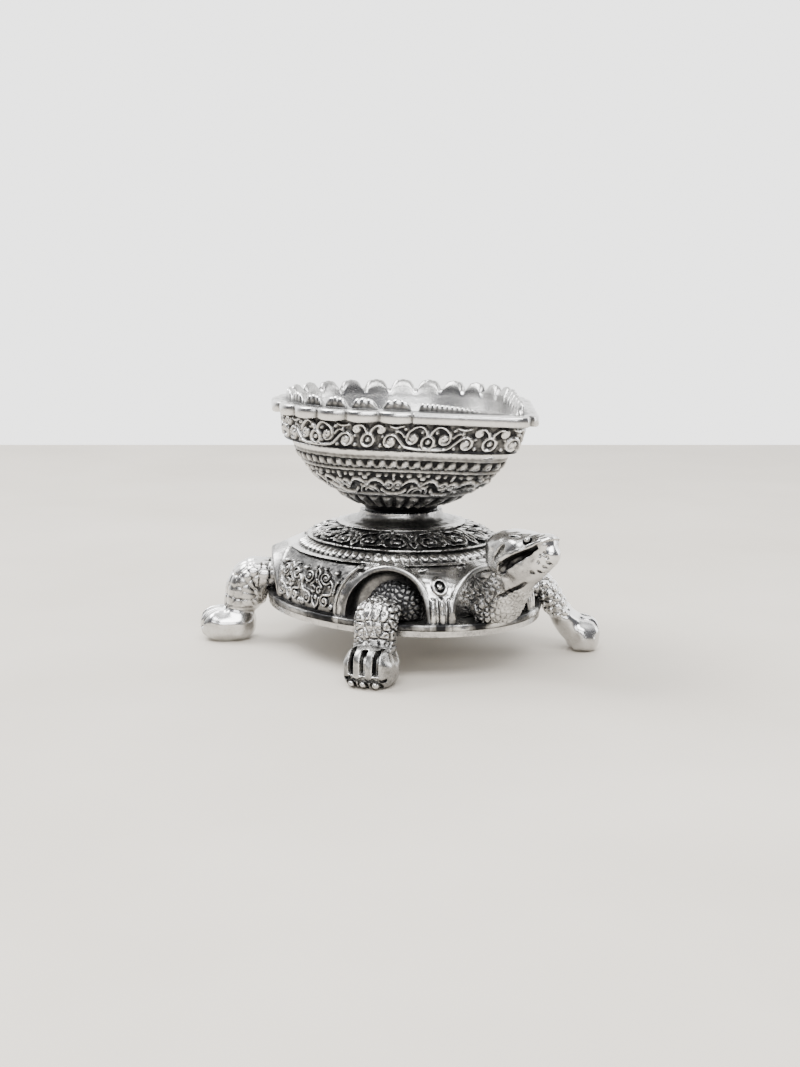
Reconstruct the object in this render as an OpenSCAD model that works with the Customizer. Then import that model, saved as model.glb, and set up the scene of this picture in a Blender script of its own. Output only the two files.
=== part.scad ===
// Turtle diya: a leaf-shaped oil bowl on the back of a standing turtle, cast in white metal.
// +X points to the head, +Y to the turtle's left, +Z up, and the feet stand on z = 0.

/* [Overall] */
// How far the tip of the nose stands out past the shell's rim band
nose_out = 17.3; // [15.3:0.1:20.3]
// How far the tip of the tail stands out past the shell's rim band
tail_out = 5.3; // [3.8:0.1:9]
// Height of the belly plate's underside above the table
ground_clearance = 10.3; // [9.6:0.1:11.4]
// Gap between cast pieces that pass close to each other
clearance = 0.3; // [0.2:0.05:0.4]

/* [Shell] */
// Length of the shell over its rim band
shell_l = 79.4; // [77:0.2:82]
// Width of the shell over its rim band
shell_w = 62.4; // [61:0.2:66]
// Height of the shell from its lower edge to the top of its collar
shell_h = 23; // [22.4:0.1:25]
// Wall of the shell casting
shell_wall = 2.2; // [1.8:0.1:2.6]
// Height of the plain band round the shell's lower edge
rim_band_h = 1.6; // [1.2:0.1:2]
// How far the rim band stands out from the foot of the dome
rim_band_out = 1.8; // [1.2:0.1:2.4]
// Length of the beaded ring round the dome, over its lower line
ring_l = 57; // [54:0.5:60]
// Width of the beaded ring round the dome, over its lower line
ring_w = 50; // [47:0.5:53]
// Height of the beaded ring's lower line above the shell's lower edge
ring_h = 13.8; // [13:0.1:14.6]
// Level width of the beaded ring
ring_band = 4.2; // [3.4:0.2:5]
// Rise of the beaded ring from its lower to its upper line
ring_rise = 2.7; // [2:0.1:3.4]
// How far the beaded ring stands out from the dome
ring_out = 0.6; // [0.4:0.1:1]
// How far the beads stand out from their ring
bead_out = 0.6; // [0.3:0.1:0.9]
// How far the carved knobs of the panels and the crown stand out
knob_out = 0.6; // [0.3:0.1:0.9]
// Radius of the collar's flared foot
collar_foot_r = 13.2; // [12:0.2:15]
// Height of the collar's flared foot above the shell's lower edge
collar_foot_h = 20.6; // [19.4:0.1:21.2]
// Radius of the collar's top, where the bowl sits
collar_r = 10.2; // [9.8:0.1:11.4]

/* [Arches and niches] */
// Angle, at the shell's axis, between the head and the middle of a front leg's arch
leg_angle = 44; // [42.5:0.5:45]
// Outer radius of a leg arch
arch_r = 11.4; // [11:0.1:11.6]
// How far the face of a leg arch lies inside the rim band's edge
arch_setback = 3.4; // [2.8:0.1:3.8]
// Outer radius of the neck arch
neck_arch_r = 12.2; // [11.6:0.1:12.6]
// How far the face of the neck arch lies inside the rim band's edge
neck_setback = 3.7; // [2.7:0.1:4.7]
// Angle at which the arches' faces lean back
arch_lean = 12; // [8:1:16]
// Height of the arches' crowns above the rim band
arch_crown = 12.4; // [12.2:0.1:13]
// Thickness of the lip round each arch
arch_lip = 1.4; // [1:0.1:2]
// Depth of each niche behind the face of its arch
niche_depth = 4.4; // [3.8:0.1:4.8]

/* [Belly plate] */
// Thickness of the belly plate
plate_t = 1.3; // [1:0.1:1.8]
// How far the plate's edge lies inside the rim band
plate_inset = 0.5; // [0.2:0.1:1]
// Height of the locating ring on the plate
locating_h = 1.6; // [1:0.1:1.8]
// Thickness of the locating ring on the plate
locating_t = 1.6; // [1.2:0.1:2.2]

/* [Legs] */
// How far the front right toes stand out past the rim band
front_right_toe_out = 10.8; // [10.4:0.1:12.6]
// How far the front left toes stand out past the rim band
front_left_toe_out = 14.9; // [13.4:0.1:16.4]
// How far the rear toes stand out past the rim band
rear_toe_out = 16.9; // [15.4:0.1:18.8]
// Length of a front foot from heel to toes
front_foot_l = 11.4; // [10.6:0.2:12]
// Length of a rear foot from heel to toes
rear_foot_l = 14; // [12.8:0.2:14.6]
// Width of a foot
foot_w = 11.8; // [11:0.2:12.8]
// Height of a foot
foot_h = 8.7; // [8:0.1:9.4]
// Width of a leg
leg_w = 10.2; // [9.2:0.2:11]
// Thickness of a front leg
front_leg_t = 5.5; // [5:0.1:6.2]
// Thickness of a rear leg
rear_leg_t = 7.8; // [6.8:0.1:8.4]
// Room between the rim band and the bend of a front leg
front_knee = 1.3; // [1.2:0.1:2]
// Room between the rim band and the bend of a rear leg
rear_knee = 2.6; // [2:0.1:3.4]
// Width of the grooves between the toes
toe_groove_w = 1.4; // [0.9:0.1:1.8]
// Depth of the grooves between the toes
toe_groove_depth = 1.5; // [0.9:0.1:2]

/* [Head and tail] */
// Length of the head
head_l = 20.6; // [19.6:0.2:21]
// Width of the head
head_w = 12.6; // [11.6:0.2:13.6]
// Height of the head
head_h = 13.4; // [12.4:0.2:14]
// Height of the head's middle above the table
head_z = 28.2; // [27.6:0.2:30]
// Angle at which the snout rises
head_tilt = 18; // [14:1:20]
// Width of the neck
neck_w = 9.4; // [8.6:0.2:10.6]
// Thickness of the neck
neck_t = 8; // [7.4:0.1:8.8]
// How far the bend of the neck lies in front of its arch
neck_bend_out = 3.4; // [2.8:0.1:4.2]
// Radius of the eyes
eye_r = 1.5; // [1.2:0.1:1.9]
// Width of the mouth line at its widest
mouth_gap = 2.4; // [1.6:0.1:2.8]
// Radius of the tail's root and of the pad that carries it
tail_r = 3.4; // [2.8:0.1:3.8]

/* [Bowl] */
// Radius of the bowl's round back over its rim
bowl_r = 32; // [30:0.2:34]
// Distance from the bowl's axis to the tip of its spout
spout_reach = 48.6; // [46:0.2:51]
// Radius of the spout's blunt tip
spout_tip_r = 4; // [3.4:0.1:5]
// Height of the bowl from the collar to the top of its rim
bowl_h = 27; // [25:0.2:29]
// Height of the rim's outer face
rim_h = 2.6; // [2.2:0.1:3.2]
// How far the rim falls from the bowl's back to its spout
rim_fall = 1.4; // [0.6:0.2:2.4]
// How far the rim stands out from the carved band at the bowl's back
rim_out = 2.5; // [2.1:0.1:3]
// How far the rim overhangs the carved band at the spout
spout_overhang = 3.8; // [3:0.2:4.8]
// Wall of the bowl
bowl_wall = 2.4; // [2:0.1:3]
// Thickness of the bowl's floor over the collar
bowl_floor = 8; // [7.4:0.1:9]
// Radius of the foot of the bowl
bowl_foot_r = 9.8; // [9.2:0.1:10.2]
// Height of the carved band under the rim
band_h = 6.4; // [5.6:0.2:7.2]
// How far the carved band stands out from the wall at the bowl's back
band_out = 2.2; // [1.7:0.1:2.8]
// How far the carved band stands out from the wall at the spout
band_spout_out = 5.3; // [4.3:0.1:6.3]
// How far the carved band draws in from its top to its foot at the bowl's back
band_taper = 0.7; // [0.4:0.1:1.1]
// How far the carved band draws in from its top to its foot at the spout
band_spout_taper = 3.6; // [2.8:0.2:4.4]
// Length of one wave of the vine on the carved band
vine_l = 18; // [14:0.5:24]
// How far the vine stands out from the carved band
vine_out = 0.6; // [0.3:0.1:0.9]
// How far the leaves and beads stand out from the wall
leaf_out = 0.6; // [0.3:0.1:0.9]
// How far the flutes under the bowl stand out
flute_out = 0.6; // [0.3:0.1:0.8]
// Number of scallops round the rim
scallops = 20; // [16:2:24]
// How far the scallops stand out sideways
scallop_out = 1.5; // [0.8:0.1:1.9]
// Height of the tongue that stands on each scallop
tongue_h = 2.6; // [1.8:0.1:3]
// How far the tongues stand inside the rim's edge
tongue_inset = 2.4; // [2:0.1:2.8]
// Thickness of the tongues
tongue_t = 2.2; // [1.6:0.1:2.6]

/* [Fastening] */
// Diameter of the tie screw's shank
screw_d = 4; // [3.5:0.1:4.4]
// Length of the thread held in the bowl's boss
screw_grip = 5.6; // [5:0.1:6]
// Diameter of the tie screw's head
screw_head_d = 7.6; // [7:0.1:8.6]
// Height of the tie screw's head
screw_head_h = 2.4; // [2:0.1:3]
// Thickness of the washer
washer_t = 0.8; // [0.6:0.1:1]
// Diameter of the washer
washer_d = 10; // [9:0.2:12]
// Diameter of the riveted tenons
tenon_d = 4; // [3.2:0.1:4.4]
// Diameter of the heads that the tenons are riveted over to
rivet_d = 6; // [5.2:0.1:6.4]
// Height of the heads that the tenons are riveted over to
rivet_h = 1; // [0.8:0.1:1.2]
// Gap round the screw and the tenons
bore_gap = 0.08; // [0.05:0.01:0.15]

/* [Hidden] */

$fn = 64;
ring_points = 72;
tail_knobs = 3;
limb_points = 18;
cut = 60;

// Places along the height
shell_z = ground_clearance + plate_t;
sill_z = shell_z + rim_band_h;
collar_z = shell_z + shell_h;
rim_z = collar_z + bowl_h;
floor_z = collar_z + bowl_floor;

// Radius of an oval with half axes a and b in the direction of an angle
function oval_r(a, b, angle) = 1 / sqrt(pow(cos(angle) / a, 2) + pow(sin(angle) / b, 2));

// Places along the plan, from the shell's axis; the part's origin lies under the middle of its length
nose_reach = shell_l / 2 + nose_out;
tail_reach = shell_l / 2 + tail_out;
axis_x = (tail_reach - nose_reach) / 2;

// Oval ring, with every second point pushed out by knob; rows of knobs are shifted by turn points
function oval(a, b, z, knob = 0, turn = 0) = [
    for (i = [0:ring_points - 1])
        let (angle = 360 * i / ring_points, out = knob * knob_share(i, turn))
        [(a + out) * cos(angle), (b + out) * sin(angle), z]
];

// 1 where a row of carved knobs has a knob and 0 between them and beside the tail
function knob_share(i, turn) =
    abs(i - ring_points / 2) <= tail_knobs ? 0 : (i + turn) % 2;

// Point of the rim band's edge in the direction of an angle, and the direction square to the edge there
function rim_point(angle) =
    oval_r(shell_l / 2, shell_w / 2, angle) * [cos(angle), sin(angle), 0];
function rim_turn(angle) = atan2(sin(angle) / pow(shell_w, 2), cos(angle) / pow(shell_l, 2));

// Puts what is drawn from the origin along +X at the middle of a leg's arch, square to the rim band's edge
module at_leg(angle) {
    translate(rim_point(angle)) rotate([0, 0, rim_turn(angle)]) children();
}

// Point at share f of a curve from p to q that is drawn towards c
function curve(p, c, q, f) = (1 - f) * (1 - f) * p + 2 * f * (1 - f) * c + f * f * q;

function mean(points) = [for (i = [0:2]) [for (p = points) p[i]] * [for (p = points) 1] / len(points)];

// Closed solid through rings that all have the same number of points
module loft(rings) {
    n = len(rings[0]);
    m = len(rings);
    points = [for (ring = rings) each ring, mean(rings[0]), mean(rings[m - 1])];
    walls = [
        for (j = [0:m - 2], i = [0:n - 1])
            let (a = j * n + i, b = j * n + (i + 1) % n)
            each [[a, b + n, b], [a, a + n, b + n]]
    ];
    ends = [
        for (i = [0:n - 1])
            let (k = (i + 1) % n)
            each [[m * n, i, k], [m * n + 1, (m - 1) * n + k, (m - 1) * n + i]]
    ];
    polyhedron(points, concat(walls, ends));
}

module place() {
    translate([axis_x, 0, 0]) children();
}

// Cylinder that lies along +X from x = from to x = to
module bar(d, from, to) {
    translate([from, 0, 0]) rotate([0, 90, 0]) cylinder(d = d, h = to - from);
}

// Upright arch with its foot on z = 0, from x = from to x = to
module arch(r, crown, from, to) {
    translate([from, 0, 0]) rotate([90, 0, 90]) linear_extrude(to - from) {
        intersection() {
            translate([0, crown - r]) circle(r);
            translate([-r, crown - r]) square([2 * r, r]);
        }
        translate([-r, 0]) square([2 * r, crown - r]);
    }
}

// Shell
arch_back = -arch_setback - niche_depth;
neck_arch_face = shell_l / 2 - neck_setback;
neck_back = neck_arch_face - niche_depth;
skirt_l = shell_l / 2 - rim_band_out;
skirt_w = shell_w / 2 - rim_band_out;
skirt_bulge = 0.72;
skirt_rows = 4;
crown_rows = 2;
crown_plain = 0.7;
ring_bead_shares = [0.35, 0.65];
leg_angles = [leg_angle, -leg_angle, 180 - leg_angle, leg_angle - 180];

// Share of the skirt's curve at a height above the table, and the skirt's half length there
function skirt_share(z) =
    let (rise = (z - sill_z) / (ring_h - rim_band_h))
    (sqrt(pow(skirt_bulge, 2) + (1 - 2 * skirt_bulge) * rise) - skirt_bulge) / (1 - 2 * skirt_bulge);
function skirt_half_l(z) = skirt_l - pow(skirt_share(z), 2) * (skirt_l - ring_l / 2);

// The tail's pad ends inside the wall, clear of it at the top of the riveted head
tail_z = sill_z + tail_r + clearance;
tail_pad = skirt_l;
pad_back = skirt_half_l(tail_z + rivet_d / 2) - shell_wall - clearance;

// Rings of the dome from [half length, half width, height], drawn in by inset and down by drop
function skirt_ring(f, inset, knob = 0, turn = 0) =
    let (foot = [skirt_l, skirt_w, rim_band_h],
         top = [ring_l / 2, ring_w / 2, ring_h],
         bend = [skirt_l, skirt_w, rim_band_h + skirt_bulge * (ring_h - rim_band_h)],
         p = curve(foot, bend, top, f))
    oval(p[0] - inset, p[1] - inset, shell_z + p[2], knob, turn);

function crown_ring(f, inset, drop, knob = 0, turn = 0) =
    let (foot = [ring_l / 2 - ring_band, ring_w / 2 - ring_band, ring_h + ring_rise],
         top = [collar_foot_r, collar_foot_r, collar_foot_h],
         p = foot + (top - foot) * f)
    oval(p[0] - inset, p[1] - inset, shell_z + p[2] - drop, knob, turn);

function bead_ring(f, out, bead) =
    oval(ring_l / 2 - f * ring_band + out, ring_w / 2 - f * ring_band + out,
         shell_z + ring_h + f * ring_rise + out, bead);

function collar_ring(f) =
    let (p = curve([collar_foot_r, collar_foot_h], [collar_r, collar_foot_h], [collar_r, shell_h], f))
    oval(p[0], p[0], shell_z + p[1]);

module dome() {
    loft(concat(
        [for (z = [0, rim_band_h]) oval(shell_l / 2, shell_w / 2, shell_z + z)],
        [skirt_ring(0, 0)],
        [for (i = [1:skirt_rows]) skirt_ring(i / (skirt_rows + 1), 0, knob_out, i)],
        [skirt_ring(1, 0)],
        [bead_ring(0, ring_out, 0)],
        [for (f = ring_bead_shares) bead_ring(f, ring_out, bead_out)],
        [bead_ring(1, ring_out, 0)],
        [crown_ring(0, 0, 0)],
        [for (i = [1:crown_rows]) crown_ring(crown_plain * i / (crown_rows + 1), 0, 0, knob_out, i)],
        [crown_ring(crown_plain, 0, 0)],
        [for (f = [0:0.25:1]) collar_ring(f)]
    ));
}

module hollow() {
    foot = skirt_ring(0, shell_wall);
    loft(concat(
        [[for (p = foot) [p[0], p[1], shell_z - 1]]],
        [for (f = [0:0.25:1]) skirt_ring(f, shell_wall)],
        [for (f = [0, 1]) crown_ring(f, shell_wall / 2, shell_wall)]
    ));
}

// Block that holds a niche, with the wall behind it and a face that leans back
module arch_block(r, back, face) {
    translate([0, 0, shell_z]) difference() {
        arch(r, rim_band_h + arch_crown, back - shell_wall, face);
        translate([face, -cut / 2, rim_band_h]) rotate([0, -arch_lean, 0]) cube([cut, cut, cut]);
    }
}

// Prism over an oval that lies inside the rim band's edge by inset
module oval_prism(inset, h) {
    edge = oval(shell_l / 2 - inset, shell_w / 2 - inset, 0);
    linear_extrude(h) polygon([for (p = edge) [p[0], p[1]]]);
}

module arch_blocks() {
    intersection() {
        for (angle = leg_angles)
            at_leg(angle) arch_block(arch_r, arch_back, -arch_setback);
        oval_prism(0, collar_z);
    }
    arch_block(neck_arch_r, neck_back, neck_arch_face);
    translate([0, 0, tail_z]) rotate([0, 0, 180]) bar(2 * tail_r, pad_back, tail_pad);
}

module niches() {
    for (angle = leg_angles)
        at_leg(angle) translate([0, 0, sill_z])
            arch(arch_r - arch_lip, arch_crown - arch_lip, arch_back, cut);
    translate([0, 0, sill_z]) arch(neck_arch_r - arch_lip, arch_crown - arch_lip, neck_back, cut);
}

module tenon_bores() {
    bore_d = tenon_d + 2 * bore_gap;
    for (angle = leg_angles)
        let (t = abs(angle) < 90 ? front_leg_t : rear_leg_t)
        at_leg(angle) translate([0, 0, thigh_z(t)])
            bar(bore_d, arch_back - shell_wall - 1, arch_back + 1);
    translate([0, 0, neck_z]) bar(bore_d, neck_back - shell_wall - 1, neck_back + 1);
    translate([0, 0, tail_z]) rotate([0, 0, 180]) bar(bore_d, pad_back - 1, tail_pad + 1);
}

module screw_bore(from, to) {
    translate([0, 0, from]) cylinder(d = screw_d + 2 * bore_gap, h = to - from);
}

module shell() {
    color("silver") place() difference() {
        union() {
            dome();
            arch_blocks();
        }
        difference() {
            hollow();
            arch_blocks();
        }
        niches();
        tenon_bores();
        screw_bore(shell_z, collar_z + 1);
    }
}

// Belly plate
module belly_plate() {
    arch_line = norm(rim_point(leg_angle)) * cos(rim_turn(leg_angle) - leg_angle);
    locating_r = arch_line + arch_back - shell_wall - clearance;
    color("gainsboro") place() difference() {
        union() {
            translate([0, 0, ground_clearance]) oval_prism(plate_inset, plate_t);
            translate([0, 0, shell_z]) difference() {
                cylinder(r = locating_r, h = locating_h);
                translate([0, 0, -1]) cylinder(r = locating_r - locating_t, h = locating_h + 2);
            }
        }
        screw_bore(ground_clearance - 1, shell_z + 1);
    }
}

// Legs
sole_sink = 0.5;
toe_gap = foot_w / 4;
toe_low = 0.12;
foot_roundness = 2.4;
ankle_share = 0.7;
ankle_taper = 0.86;

function thigh_z(t) = sill_z + clearance + t / 2;

// Ring of a limb at p, with its length along the direction of pitch, in the XZ plane
function limb_ring(p, pitch, half_t, half_w) = [
    for (i = [0:limb_points - 1])
        let (angle = 360 * i / limb_points, up = half_t * sin(angle))
        [p[0] - up * sin(pitch), half_w * cos(angle), p[1] + up * cos(pitch)]
];

// Thigh and shank: out of the niche over the rim band, round the knee and down to the foot
module shank(t, toe_out, foot_l, knee) {
    start = [clearance, thigh_z(t)];
    bend = [knee + t / 2, thigh_z(t)];
    ankle = [toe_out - foot_l * ankle_share, foot_h / 2];
    loft(concat(
        [limb_ring([arch_back, thigh_z(t)], 0, t / 2, leg_w / 2)],
        [for (f = [0:0.2:1])
            let (slope = (1 - f) * (bend - start) + f * (ankle - bend),
                 pitch = atan2(slope[1], slope[0]),
                 taper = 1 - (1 - ankle_taper) * f)
            limb_ring(curve(start, bend, ankle, f), pitch, t / 2 * taper, leg_w / 2 * taper)]
    ));
}

// Rounded paw with a level sole and grooves between the toes
module foot(toe_out, foot_l) {
    middle = [toe_out - foot_l / 2, (foot_h - sole_sink) / 2];
    half_h = (foot_h + sole_sink) / 2;
    shares = [-0.995, -0.96, -0.86, -0.65, -0.35, 0, 0.35, 0.65, 0.86, 0.96, 0.995];
    difference() {
        loft([for (f = shares)
            let (s = pow(1 - pow(abs(f), foot_roundness), 1 / foot_roundness))
            limb_ring(middle + [f * foot_l / 2, 0], 0, half_h * s, foot_w / 2 * s)]);
        for (side = [-1:1])
            translate([toe_out - foot_l / 4, side * toe_gap + toe_groove_w / 2, foot_h / 2])
                rotate([90, 0, 0]) toe_groove(foot_l);
    }
}

// Slot down the upper part of the toes
module toe_groove(foot_l) {
    inner_l = foot_l / 4 - toe_groove_depth / 2;
    inner_h = foot_h / 2 - toe_groove_depth;
    difference() {
        cylinder(r = foot_l, h = toe_groove_w);
        translate([0, 0, -1]) scale([inner_l / inner_h, 1, 1]) cylinder(r = inner_h, h = toe_groove_w + 2);
        translate([-cut, -cut, -1]) cube([cut, 2 * cut, toe_groove_w + 2]);
        translate([-cut, -cut - foot_h * toe_low, -1]) cube([2 * cut, cut, toe_groove_w + 2]);
    }
}

// Tenon along +X, riveted over behind a wall whose front is at x = front
module tenon(front, wall) {
    bar(tenon_d, front - wall - rivet_h, front + tenon_d / 2);
    bar(rivet_d, front - wall - rivet_h, front - wall);
}

module leg(angle, t, toe_out, foot_l, knee) {
    color("lightgray") place() at_leg(angle) difference() {
        union() {
            shank(t, toe_out, foot_l, knee);
            foot(toe_out, foot_l);
            translate([0, 0, thigh_z(t)]) tenon(arch_back, shell_wall);
        }
        translate([-cut / 2, -cut / 2, -cut]) cube([2 * cut, cut, cut]);
    }
}

module front_right_leg() {
    leg(-leg_angle, front_leg_t, front_right_toe_out, front_foot_l, front_knee);
}

module front_left_leg() {
    leg(leg_angle, front_leg_t, front_left_toe_out, front_foot_l, front_knee);
}

module rear_right_leg() {
    leg(leg_angle - 180, rear_leg_t, rear_toe_out, rear_foot_l, rear_knee);
}

module rear_left_leg() {
    leg(180 - leg_angle, rear_leg_t, rear_toe_out, rear_foot_l, rear_knee);
}

// Head and neck
neck_z = sill_z + clearance + neck_t / 2;
head_back = nose_reach - head_l;
neck_middle = head_back + head_l * 0.4;
neck_taper = 1;
snout_roundness = 2.6;
snout_taper = 0.22;
snout_end = 0.002;
mouth_l = head_l * 0.68;
mouth_middle = [head_back + head_l * 0.7, head_z + head_h * 0.14];
mouth_slope = head_tilt + 16;
cheek = head_w * 0.25;
eye_middle = [head_back + head_l * 0.7, head_w * 0.33, head_z + head_h * 0.36];
neck_bend_up = neck_t / 6;

// Skull that tapers to the snout and rises in front, so that its top is level and its jaw slopes
module skull() {
    shares = [-0.99, -0.93, -0.8, -0.55, -0.25, 0.1, 0.4, 0.65, 0.82, 0.93, 0.98, 1];
    loft([for (f = shares)
        let (s = pow(max(1 - pow(abs(f), snout_roundness), snout_end), 1 / snout_roundness),
             taper = 1 - snout_taper * max(f, 0),
             x = head_back + head_l * (1 + f) / 2,
             z = head_z + tan(head_tilt) * max(f, 0) * head_l / 2)
        limb_ring([x, z], 0, head_h / 2 * s * taper, head_w / 2 * s * taper)]);
}

// Lens-shaped mouth line on one cheek
module mouth_line() {
    bow_r = (mouth_l * mouth_l + mouth_gap * mouth_gap) / (4 * mouth_gap);
    linear_extrude(head_w) intersection() {
        translate([0, bow_r - mouth_gap / 2]) circle(bow_r);
        translate([0, mouth_gap / 2 - bow_r]) circle(bow_r);
    }
}

module neck() {
    start = [neck_arch_face, neck_z];
    end = [neck_middle, head_z];
    bend = [neck_arch_face + neck_bend_out, neck_z + neck_bend_up];
    loft(concat(
        [limb_ring([neck_back, neck_z], 0, neck_t / 2, neck_w / 2)],
        [for (f = [0:0.2:1])
            let (slope = (1 - f) * (bend - start) + f * (end - bend),
                 pitch = atan2(slope[1], slope[0]))
            limb_ring(curve(start, bend, end, f), pitch, neck_t / 2, neck_w / 2 - neck_taper * f)]
    ));
}

module head() {
    color("silver") place() difference() {
        union() {
            skull();
            neck();
            for (side = [-1, 1])
                translate([eye_middle[0], side * eye_middle[1], eye_middle[2]]) sphere(eye_r);
            translate([0, 0, neck_z]) tenon(neck_back, shell_wall);
        }
        for (side = [-1, 1])
            translate([mouth_middle[0], side * cheek, mouth_middle[1]]) rotate([90, 0, 0])
                rotate([0, 0, mouth_slope]) mirror([0, 0, side > 0 ? 1 : 0]) mouth_line();
    }
}

// Tail
tail_end = 0.03;
tail_droop = tail_r / 2;

module tail() {
    color("lightgray") place() rotate([0, 0, 180]) union() {
        loft([for (f = [0:0.2:1])
            let (x = tail_pad + (tail_reach - tail_pad) * f, r = tail_r * max(sqrt(1 - f), tail_end))
            limb_ring([x, tail_z - tail_droop * f * f], 0, r, r)]);
        translate([0, 0, tail_z]) tenon(tail_pad, tail_pad - pad_back);
    }
}

// Bowl
spout_side_scallops = 12;
scallop_steps = 4;
side_steps = 6;
tip_steps = 3;
foot_ring_h = 1.7;
foot_step = 0.5;
foot_flare = 0.6;
belly_power = 2.6;
keel_power = 2.45;
rim_chamfer = 0.7;
bar_wave = 0.7;
bar_tongue = 0.4;
tip_wave = 0.3;
lip_power = 4;
vine_swing = 0.28;
vine_w = 0.3;
leaf_l = vine_l * 2 / 3;
screw_end_gap = 0.6;

// Places of the bands on the wall and of the rings inside, as shares of the wall's height
flute_shares = [0.06, 0.14];
flute_top = 0.18;
leaf_foot = 0.2;
leaf_top = 0.47;
bead_foot = 0.49;
bead_shares = [0.53, 0.58];
bead_top = 0.62;
inner_shares = [0.94, 0.8, 0.62, 0.46, 0.34];

// Places of the relief's rings, as shares of their band
leaf_shares = [0.2, 0.5, 0.8];
vine_shares = [0.2, 0.4, 0.6, 0.8];

// Angle, from the spout, at which the round back runs into the straight sides
function leaf_angle(r, l, t) = acos((r - t) / (l - t));

// Plan point at share f of a part of the leaf, pushed out by out: part 0 is one half of the round back,
// 1 a straight side and 2 one half of the tip
function leaf_point(part, f, r, l, t, out) =
    let (a = leaf_angle(r, l, t), turn = [180 - f * (180 - a), a, a * (1 - f)][part],
         n = [cos(turn), sin(turn)],
         side = [r * cos(a), r * sin(a)] * (1 - f) + [l - t + t * cos(a), t * sin(a)] * f)
    (part == 0 ? r * n : part == 1 ? side : [l - t, 0] + t * n) + out * n;

back_l = bowl_r * (180 - leaf_angle(bowl_r, spout_reach, spout_tip_r)) * PI / 180;
side_l = sqrt(pow(spout_reach - spout_tip_r, 2) - pow(bowl_r - spout_tip_r, 2));
scalloped_l = back_l + spout_side_scallops;
scallop_count = scallops / 2 * scallop_steps;

// Stations from the back to the spout's tip:
// [part, share of the part, scallop there, tongue there, distance from the back along the rim]
stations = concat(
    [for (i = [0:scallop_count])
        let (s = scalloped_l * i / scallop_count, lobe = abs(sin(180 * i / scallop_steps)))
        s <= back_l ? [0, s / back_l, lobe, sqrt(lobe), s] : [1, (s - back_l) / side_l, lobe, sqrt(lobe), s]],
    [for (i = [0:side_steps - 1])
        let (s = spout_side_scallops + (side_l - spout_side_scallops) * (i + 0.5) / side_steps)
        [1, s / side_l, bar_wave, bar_tongue, back_l + s]],
    [for (i = [0:tip_steps]) [2, i / tip_steps, tip_wave, 0, back_l + side_l]]
);

// How far the relief stands out at each station: none, round flutes, beads, or a wave of length l that
// passes the height v, as a share of its band
function plain() = [for (s = stations) 0];
function flutes() = [for (s = stations) flute_out * s[2]];
function beads() = [for (i = [0:len(stations) - 1]) leaf_out * (i % 2)];
function wave(l, v, out) = [
    for (s = stations)
        let (middle = 0.5 + vine_swing * cos(360 * s[4] / l))
        out * max(0, 1 - abs(v - middle) / vine_w)
];
function petals(share) = [for (s = stations) scallop_out * share * s[2]];

// Ring of the leaf at height z, with its points pushed out by out and its tongues raised by rise; it falls
// towards the spout by the share fall of the rim's own fall
function leaf_ring(r, l, t, z, fall, out, rise = 0) =
    let (last = len(stations) - 1,
         slope = fall * rim_fall / (bowl_r + spout_reach),
         half = [for (i = [0:last])
             let (s = stations[i], p = leaf_point(s[0], s[1], r, l, t, out[i]))
             [p[0], p[1], z - slope * (p[0] - (spout_reach - bowl_r) / 2) + rise * s[3]]])
    concat([for (i = [last:-1:0]) half[i]], [for (i = [1:last - 1]) [half[i][0], -half[i][1], half[i][2]]]);

// Carved band: [round back, spout] at its top and its foot
band_top = [bowl_r - rim_out, spout_reach - spout_overhang];
band_foot = band_top - [band_taper, band_spout_taper];

// Half size of the bowl's outside at share h of its wall, which goes on behind the carved band
wall_top_r = band_top[0] - band_out;
wall_top_l = band_top[1] - band_spout_out;
wall_z = collar_z + foot_ring_h;
wall_h = bowl_h - foot_ring_h - rim_h;
wall_foot_l = bowl_foot_r + foot_flare;
function back_r(h) = bowl_foot_r + (wall_top_r - bowl_foot_r) * (1 - pow(1 - h, belly_power));
function keel_l(h) = wall_foot_l + (wall_top_l - wall_foot_l) * (1 - pow(1 - h, keel_power));
function tip_r(h) = spout_tip_r + (bowl_foot_r - spout_tip_r) * (1 - h);

// Ring of the wall at share h of its height, with its relief
function wall_ring(h, out) = leaf_ring(back_r(h), keel_l(h), tip_r(h), wall_z + wall_h * h, h, out);

// Ring of the carved band at share v of its height
function band_ring(v, out) =
    let (size = band_foot + (band_top - band_foot) * v)
    leaf_ring(size[0], size[1], spout_tip_r, rim_z - rim_h - band_h * (1 - v), 1, out);

// Ring of the rim, set in by inset, with the given shares of the scallops and the tongues
function rim_ring(inset, z, petal, rise) =
    leaf_ring(bowl_r - scallop_out - inset, spout_reach - scallop_out - inset, spout_tip_r - inset / 2, z, 1,
              petals(petal), tongue_h * rise);

// Ring of the inside at share h of the wall's height; it runs out to the tongues at the top
lip_r = bowl_r - scallop_out - tongue_inset - tongue_t;
lip_l = spout_reach - scallop_out - tongue_inset - tongue_t;
function inner_ring(h) =
    let (lip = pow(h, lip_power))
    leaf_ring(back_r(h) - bowl_wall + (lip_r - wall_top_r + bowl_wall) * lip,
              keel_l(h) - bowl_wall + (lip_l - wall_top_l + bowl_wall) * lip,
              tip_r(h) - bowl_wall / 2, wall_z + wall_h * h, h, plain());

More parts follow.
